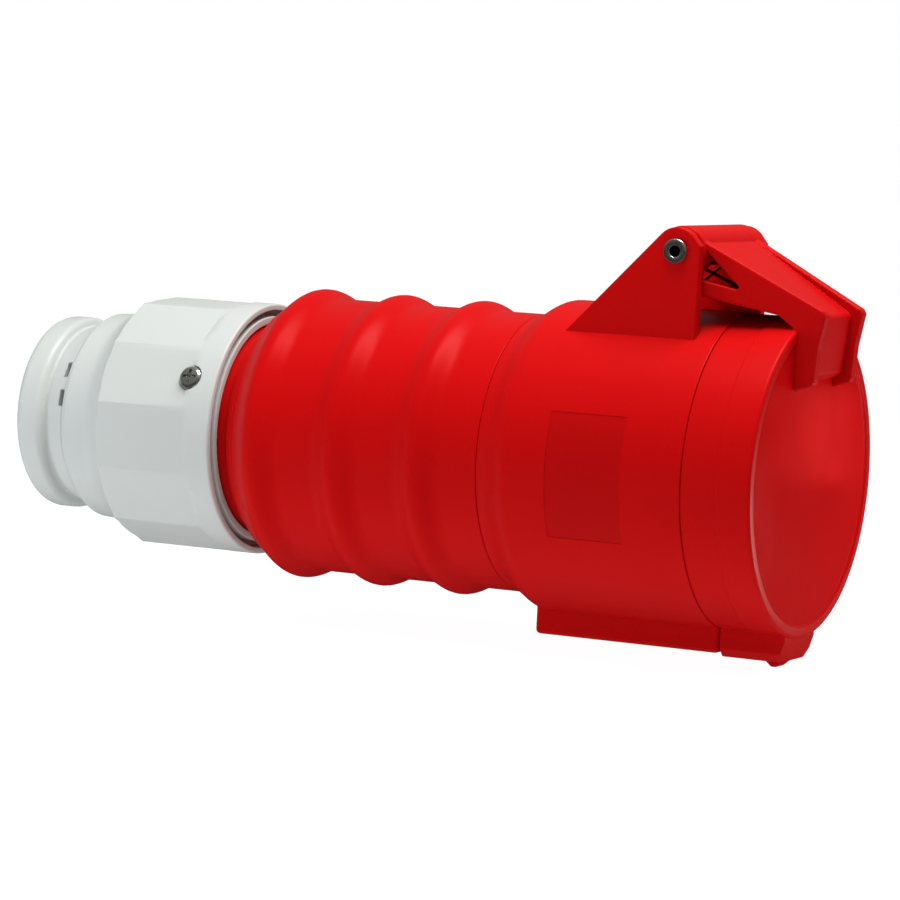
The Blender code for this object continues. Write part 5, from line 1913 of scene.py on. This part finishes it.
    def bell(self) -> Form:
        """Build the bell: catch in the nut, cone, waist, round flange and two slots.

        Returns:
            The bell.
        """
        root_x = self.rear_x - GAP
        catch = self.wall_x + GAP
        neck = self.mouth_r - GAP
        rear = self.bell_rear_x
        corners = [
            (catch + self.catch_len, neck + 0.7, 0.3), (catch, neck + self.catch_rise, 0.3),
            (catch, neck, 0.2),
            (root_x, neck, 0.2), (root_x, self.bell_root_r, 0.5),
            (self.bell_waist_x, self.bell_waist_r, 0.7),
            (self.bell_waist_x - 0.7, self.bell_flange_r, 1.9),
            (rear, self.bell_flange_r, 2.7), (rear, self.bell_waist_r - 2.6, 0.9),
            (rear + 4.0, self.bell_bore + 1.2, 3.0), (rear + 9.0, self.bell_bore, 3.0),
            (catch + self.catch_len, self.bell_bore, 0.3)]
        bell = lathe("bell_ring", round_corners(corners, 8))
        for degrees in self.slot_degs:
            across_x, along_z = self.slot_w / 2, self.slot_len / 2
            slot = block("slot", (-across_x, -self.slot_depth, -along_z),
                         (across_x, along_z, along_z), 0.25)
            turn = Matrix.Rotation(math.radians(180.0 - degrees), 4, "X")
            place = Matrix.Translation(((root_x - self.slot_back) * MM, 0.0, 0.0)) @ turn
            place = place @ Matrix.Translation((0.0, self.bell_root_r * MM, 0.0))
            bell.cut(slot.placed(place))
        return bell

    def inside(self) -> None:
        """Build the cable seal, the thrust washer and the slotted collet."""
        hole = self.cable_r + self.slack
        rings = []
        front = self.seal_front_x
        for length, inner, edge in ((self.seal_len, self.cable_r, 0.8),
                                    (self.washer_t, hole, 0.2)):
            rear = front - length
            rings.append([(front, self.seal_r, edge), (rear, self.seal_r, edge),
                          (rear, inner, edge), (front, inner, edge)])
            front = rear - GAP
        lathe("cable_seal_ring", round_corners(rings[0]), RING).dress(
            RUBBER, Body.SOCKET, "cable_seal")
        lathe("seal_washer", round_corners(rings[1]), RING).dress(
            WHITE, Body.SOCKET, "thrust_washer")
        outer, turn = self.bore - GAP, front - self.collet_straight
        rear = front - self.collet_len
        collet = [(front, outer, 0.4), (turn, outer, 0.5), (rear, outer - self.collet_fall, 0.4),
                  (rear, hole + self.collet_flare, 0.4), (turn, hole, 1.5), (front, hole, 0.3)]
        half = self.slit / 2
        slots = repeat(block("slot", (rear - PAST, 0.0, -half),
                             (front - self.collet_band, outer + PAST, half)),
                       WHITE, self.slits, 180.0 / self.slits, 360.0 / self.slits)
        lathe("clamp_fingers", round_corners(collet)).cut(slots).dress(
            WHITE, Body.CLAMP, "clamp_collet")

    def build(self) -> None:
        """Build the gland."""
        self.nut().dress(GREY, Body.GLAND, "gland_nut", crease=22.0)
        self.lock_screw().dress(STEEL, Body.GLAND, "nut_lock_screw")
        self.bell().dress(GREY, Body.GLAND, "gland_bell")
        self.inside()


# Studio ---------------------------------------------------------------------------------


@dataclass(frozen=True)
class Lamp:
    """Soft lamp: its place and target in metres, its size, power in watts and colour."""

    name: str
    place: Corner
    target: Corner
    size: Point
    power: float
    colour: Corner = (1.0, 1.0, 1.0)
    mirrored: bool = True

    def hang(self) -> None:
        """Hang the lamp. It is never seen itself, and glossy surfaces may show it."""
        data = bpy.data.lights.new(self.name, "AREA")
        data.shape = "RECTANGLE"
        data.size, data.size_y = self.size
        data.energy = self.power
        data.color = self.colour
        lamp = bpy.data.objects.new(self.name, data)
        lamp.visible_camera = False
        lamp.visible_glossy = self.mirrored
        toward = Vector(self.target) - Vector(self.place)
        turn = toward.to_track_quat("-Z", "Y").to_matrix().to_4x4()
        lamp.matrix_world = Matrix.Translation(self.place) @ turn
        bpy.context.scene.collection.objects.link(lamp)


HEAD_MIDDLE, GLAND_MIDDLE = (-0.04, 0.0, 0.0), (-0.16, 0.0, 0.0)
LID_FACE = (0.0126, 0.0, 0.0)
LAMPS = (
    Lamp("top_softbox", (0.03, -0.045, 0.45), HEAD_MIDDLE, (0.34, 0.16), 3.3,
         (1.0, 0.97, 0.94)),
    Lamp("rear_softbox", (-0.36, -0.26, 0.02), GLAND_MIDDLE, (0.2, 0.1), 0.44,
         (0.9, 0.97, 1.0), mirrored=False),
    Lamp("lid_card", (0.118, 0.273, -0.013), LID_FACE, (0.013, 0.027), 0.0045, (1.0, 0.05, 0.05)),
    Lamp("lid_fill", (0.1, 0.085, -0.04), LID_FACE, (0.05, 0.05), 0.09))


@dataclass
class Studio:
    """White sweep, soft lamps and the camera at the photograph's viewing angle."""

    axis_lean: float = 0.4607
    axis_fall: float = 0.0914
    roll: float = 0.05580746
    face_place: tuple[float, float, float] = (80.854, -6.3254, -949.6175)
    face_x: float = FACE_X
    focal_pixels: float = 4253.08
    frame_pixels: float = 900.0
    floor_z: float = -43.2
    floor_grey: float = 0.4
    floor_mirrored: float = 0.35
    bounce: float = 0.66
    glow: float = 1.19
    glow_share: float = 0.82
    sky: Point = (0.085, 0.2)

    def camera(self) -> None:
        """Set the camera where the photograph was taken from."""
        lean, fall = self.axis_lean, self.axis_fall
        axis = Vector((math.cos(lean) * math.cos(fall), -math.cos(lean) * math.sin(fall),
                       math.sin(lean)))
        up = Vector((0.0, 1.0, 0.0))
        upright = (up - axis * up.dot(axis)).normalized()
        side = axis.cross(upright)
        y_axis = -(side * math.cos(self.roll) - upright * math.sin(self.roll))
        z_axis = upright * math.cos(self.roll) + side * math.sin(self.roll)
        back = Matrix((axis, y_axis, z_axis))
        place = back @ -(Vector(self.face_place) - self.face_x * axis)
        data = bpy.data.cameras.new("photo_camera")
        data.sensor_width = 36.0
        data.lens = self.focal_pixels / self.frame_pixels * data.sensor_width
        data.clip_start, data.clip_end = 0.05, 20.0
        camera = bpy.data.objects.new("photo_camera", data)
        camera.matrix_world = Matrix.Translation(place * MM) @ back.to_4x4()
        bpy.context.scene.collection.objects.link(camera)
        bpy.context.scene.camera = camera

    def seen(self, graph: Graph) -> Term:
        """Give 1 for the rays that show the background to the camera."""
        return graph.term(graph.node("ShaderNodeLightPath"), "Is Camera Ray")

    def world(self) -> None:
        """Make the world white where it is seen, and a soft fill where it lights."""
        level, rise = self.sky
        world = bpy.data.worlds.new("studio")
        bpy.context.scene.world = world
        world.use_nodes = True
        graph = Graph(world.node_tree)
        _, _, up = graph.split(graph.node("ShaderNodeTexCoord").outputs["Generated"])
        fill = up.most(0.0) * rise + level
        strength = fill.most(self.seen(graph))
        sky = world.node_tree.nodes["Background"]
        sky.inputs["Color"].default_value = (1.0, 1.0, 1.0, 1.0)
        graph.tree.links.new(strength.socket, sky.inputs["Strength"])

    def floor(self) -> None:
        """Lay the floor: white where it is seen, and still darkened by the shadow."""
        material = bpy.data.materials.new("studio_floor")
        material.use_nodes = True
        shader = material.node_tree.nodes["Principled BSDF"]
        shader.inputs["Roughness"].default_value = 0.9
        shader.inputs["Specular IOR Level"].default_value = 0.0
        shader.inputs["Emission Strength"].default_value = 1.0
        graph = Graph(material.node_tree)
        seen = self.seen(graph)
        mirrored = graph.term(graph.node("ShaderNodeLightPath"), "Is Glossy Ray")
        grey = self.floor_grey + self.floor_grey * seen - self.floor_mirrored * mirrored
        glow = self.bounce * (1.0 - mirrored.most(seen))
        for value, name in ((grey, "Base Color"), (glow, "Emission Color")):
            graph.tree.links.new(value.socket, shader.inputs[name])
        white = graph.node("ShaderNodeEmission", None, {"Strength": self.glow})
        both = graph.node("ShaderNodeMixShader", None, {
            0: seen * self.glow_share, 1: shader.outputs[0], 2: white.outputs[0]})
        end = material.node_tree.nodes["Material Output"]
        graph.tree.links.new(both.outputs[0], end.inputs["Surface"])
        mesh = bmesh.new()
        bmesh.ops.create_grid(mesh, x_segments=1, y_segments=1, size=6.0)
        bmesh.ops.transform(mesh, verts=mesh.verts,
                            matrix=Matrix.Translation((0.0, 0.0, self.floor_z * MM)))
        floor = Form("studio_floor", mesh)
        floor.object.data.materials.append(material)

    def build(self) -> None:
        """Set up the studio."""
        view = bpy.context.scene.view_settings
        view.view_transform = "Standard"
        self.camera()
        self.world()
        self.floor()
        for lamp in LAMPS:
            lamp.hang()


def main() -> None:
    """Load the frame, build every sub-assembly and set up the studio."""
    logging.basicConfig(level=logging.INFO, format="%(message)s")
    for spare in list(bpy.data.objects):
        bpy.data.objects.remove(spare, do_unlink=True)
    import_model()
    for assembly in (FrontHousing(), RearHandle(), SprungLid(), Hinge(), ContactInsert(),
                     CableGland(), Studio()):
        assembly.build()
        LOG.info("%s is built", type(assembly).__name__)
    bpy.context.view_layer.update()


if __name__ == "__main__":
    main()
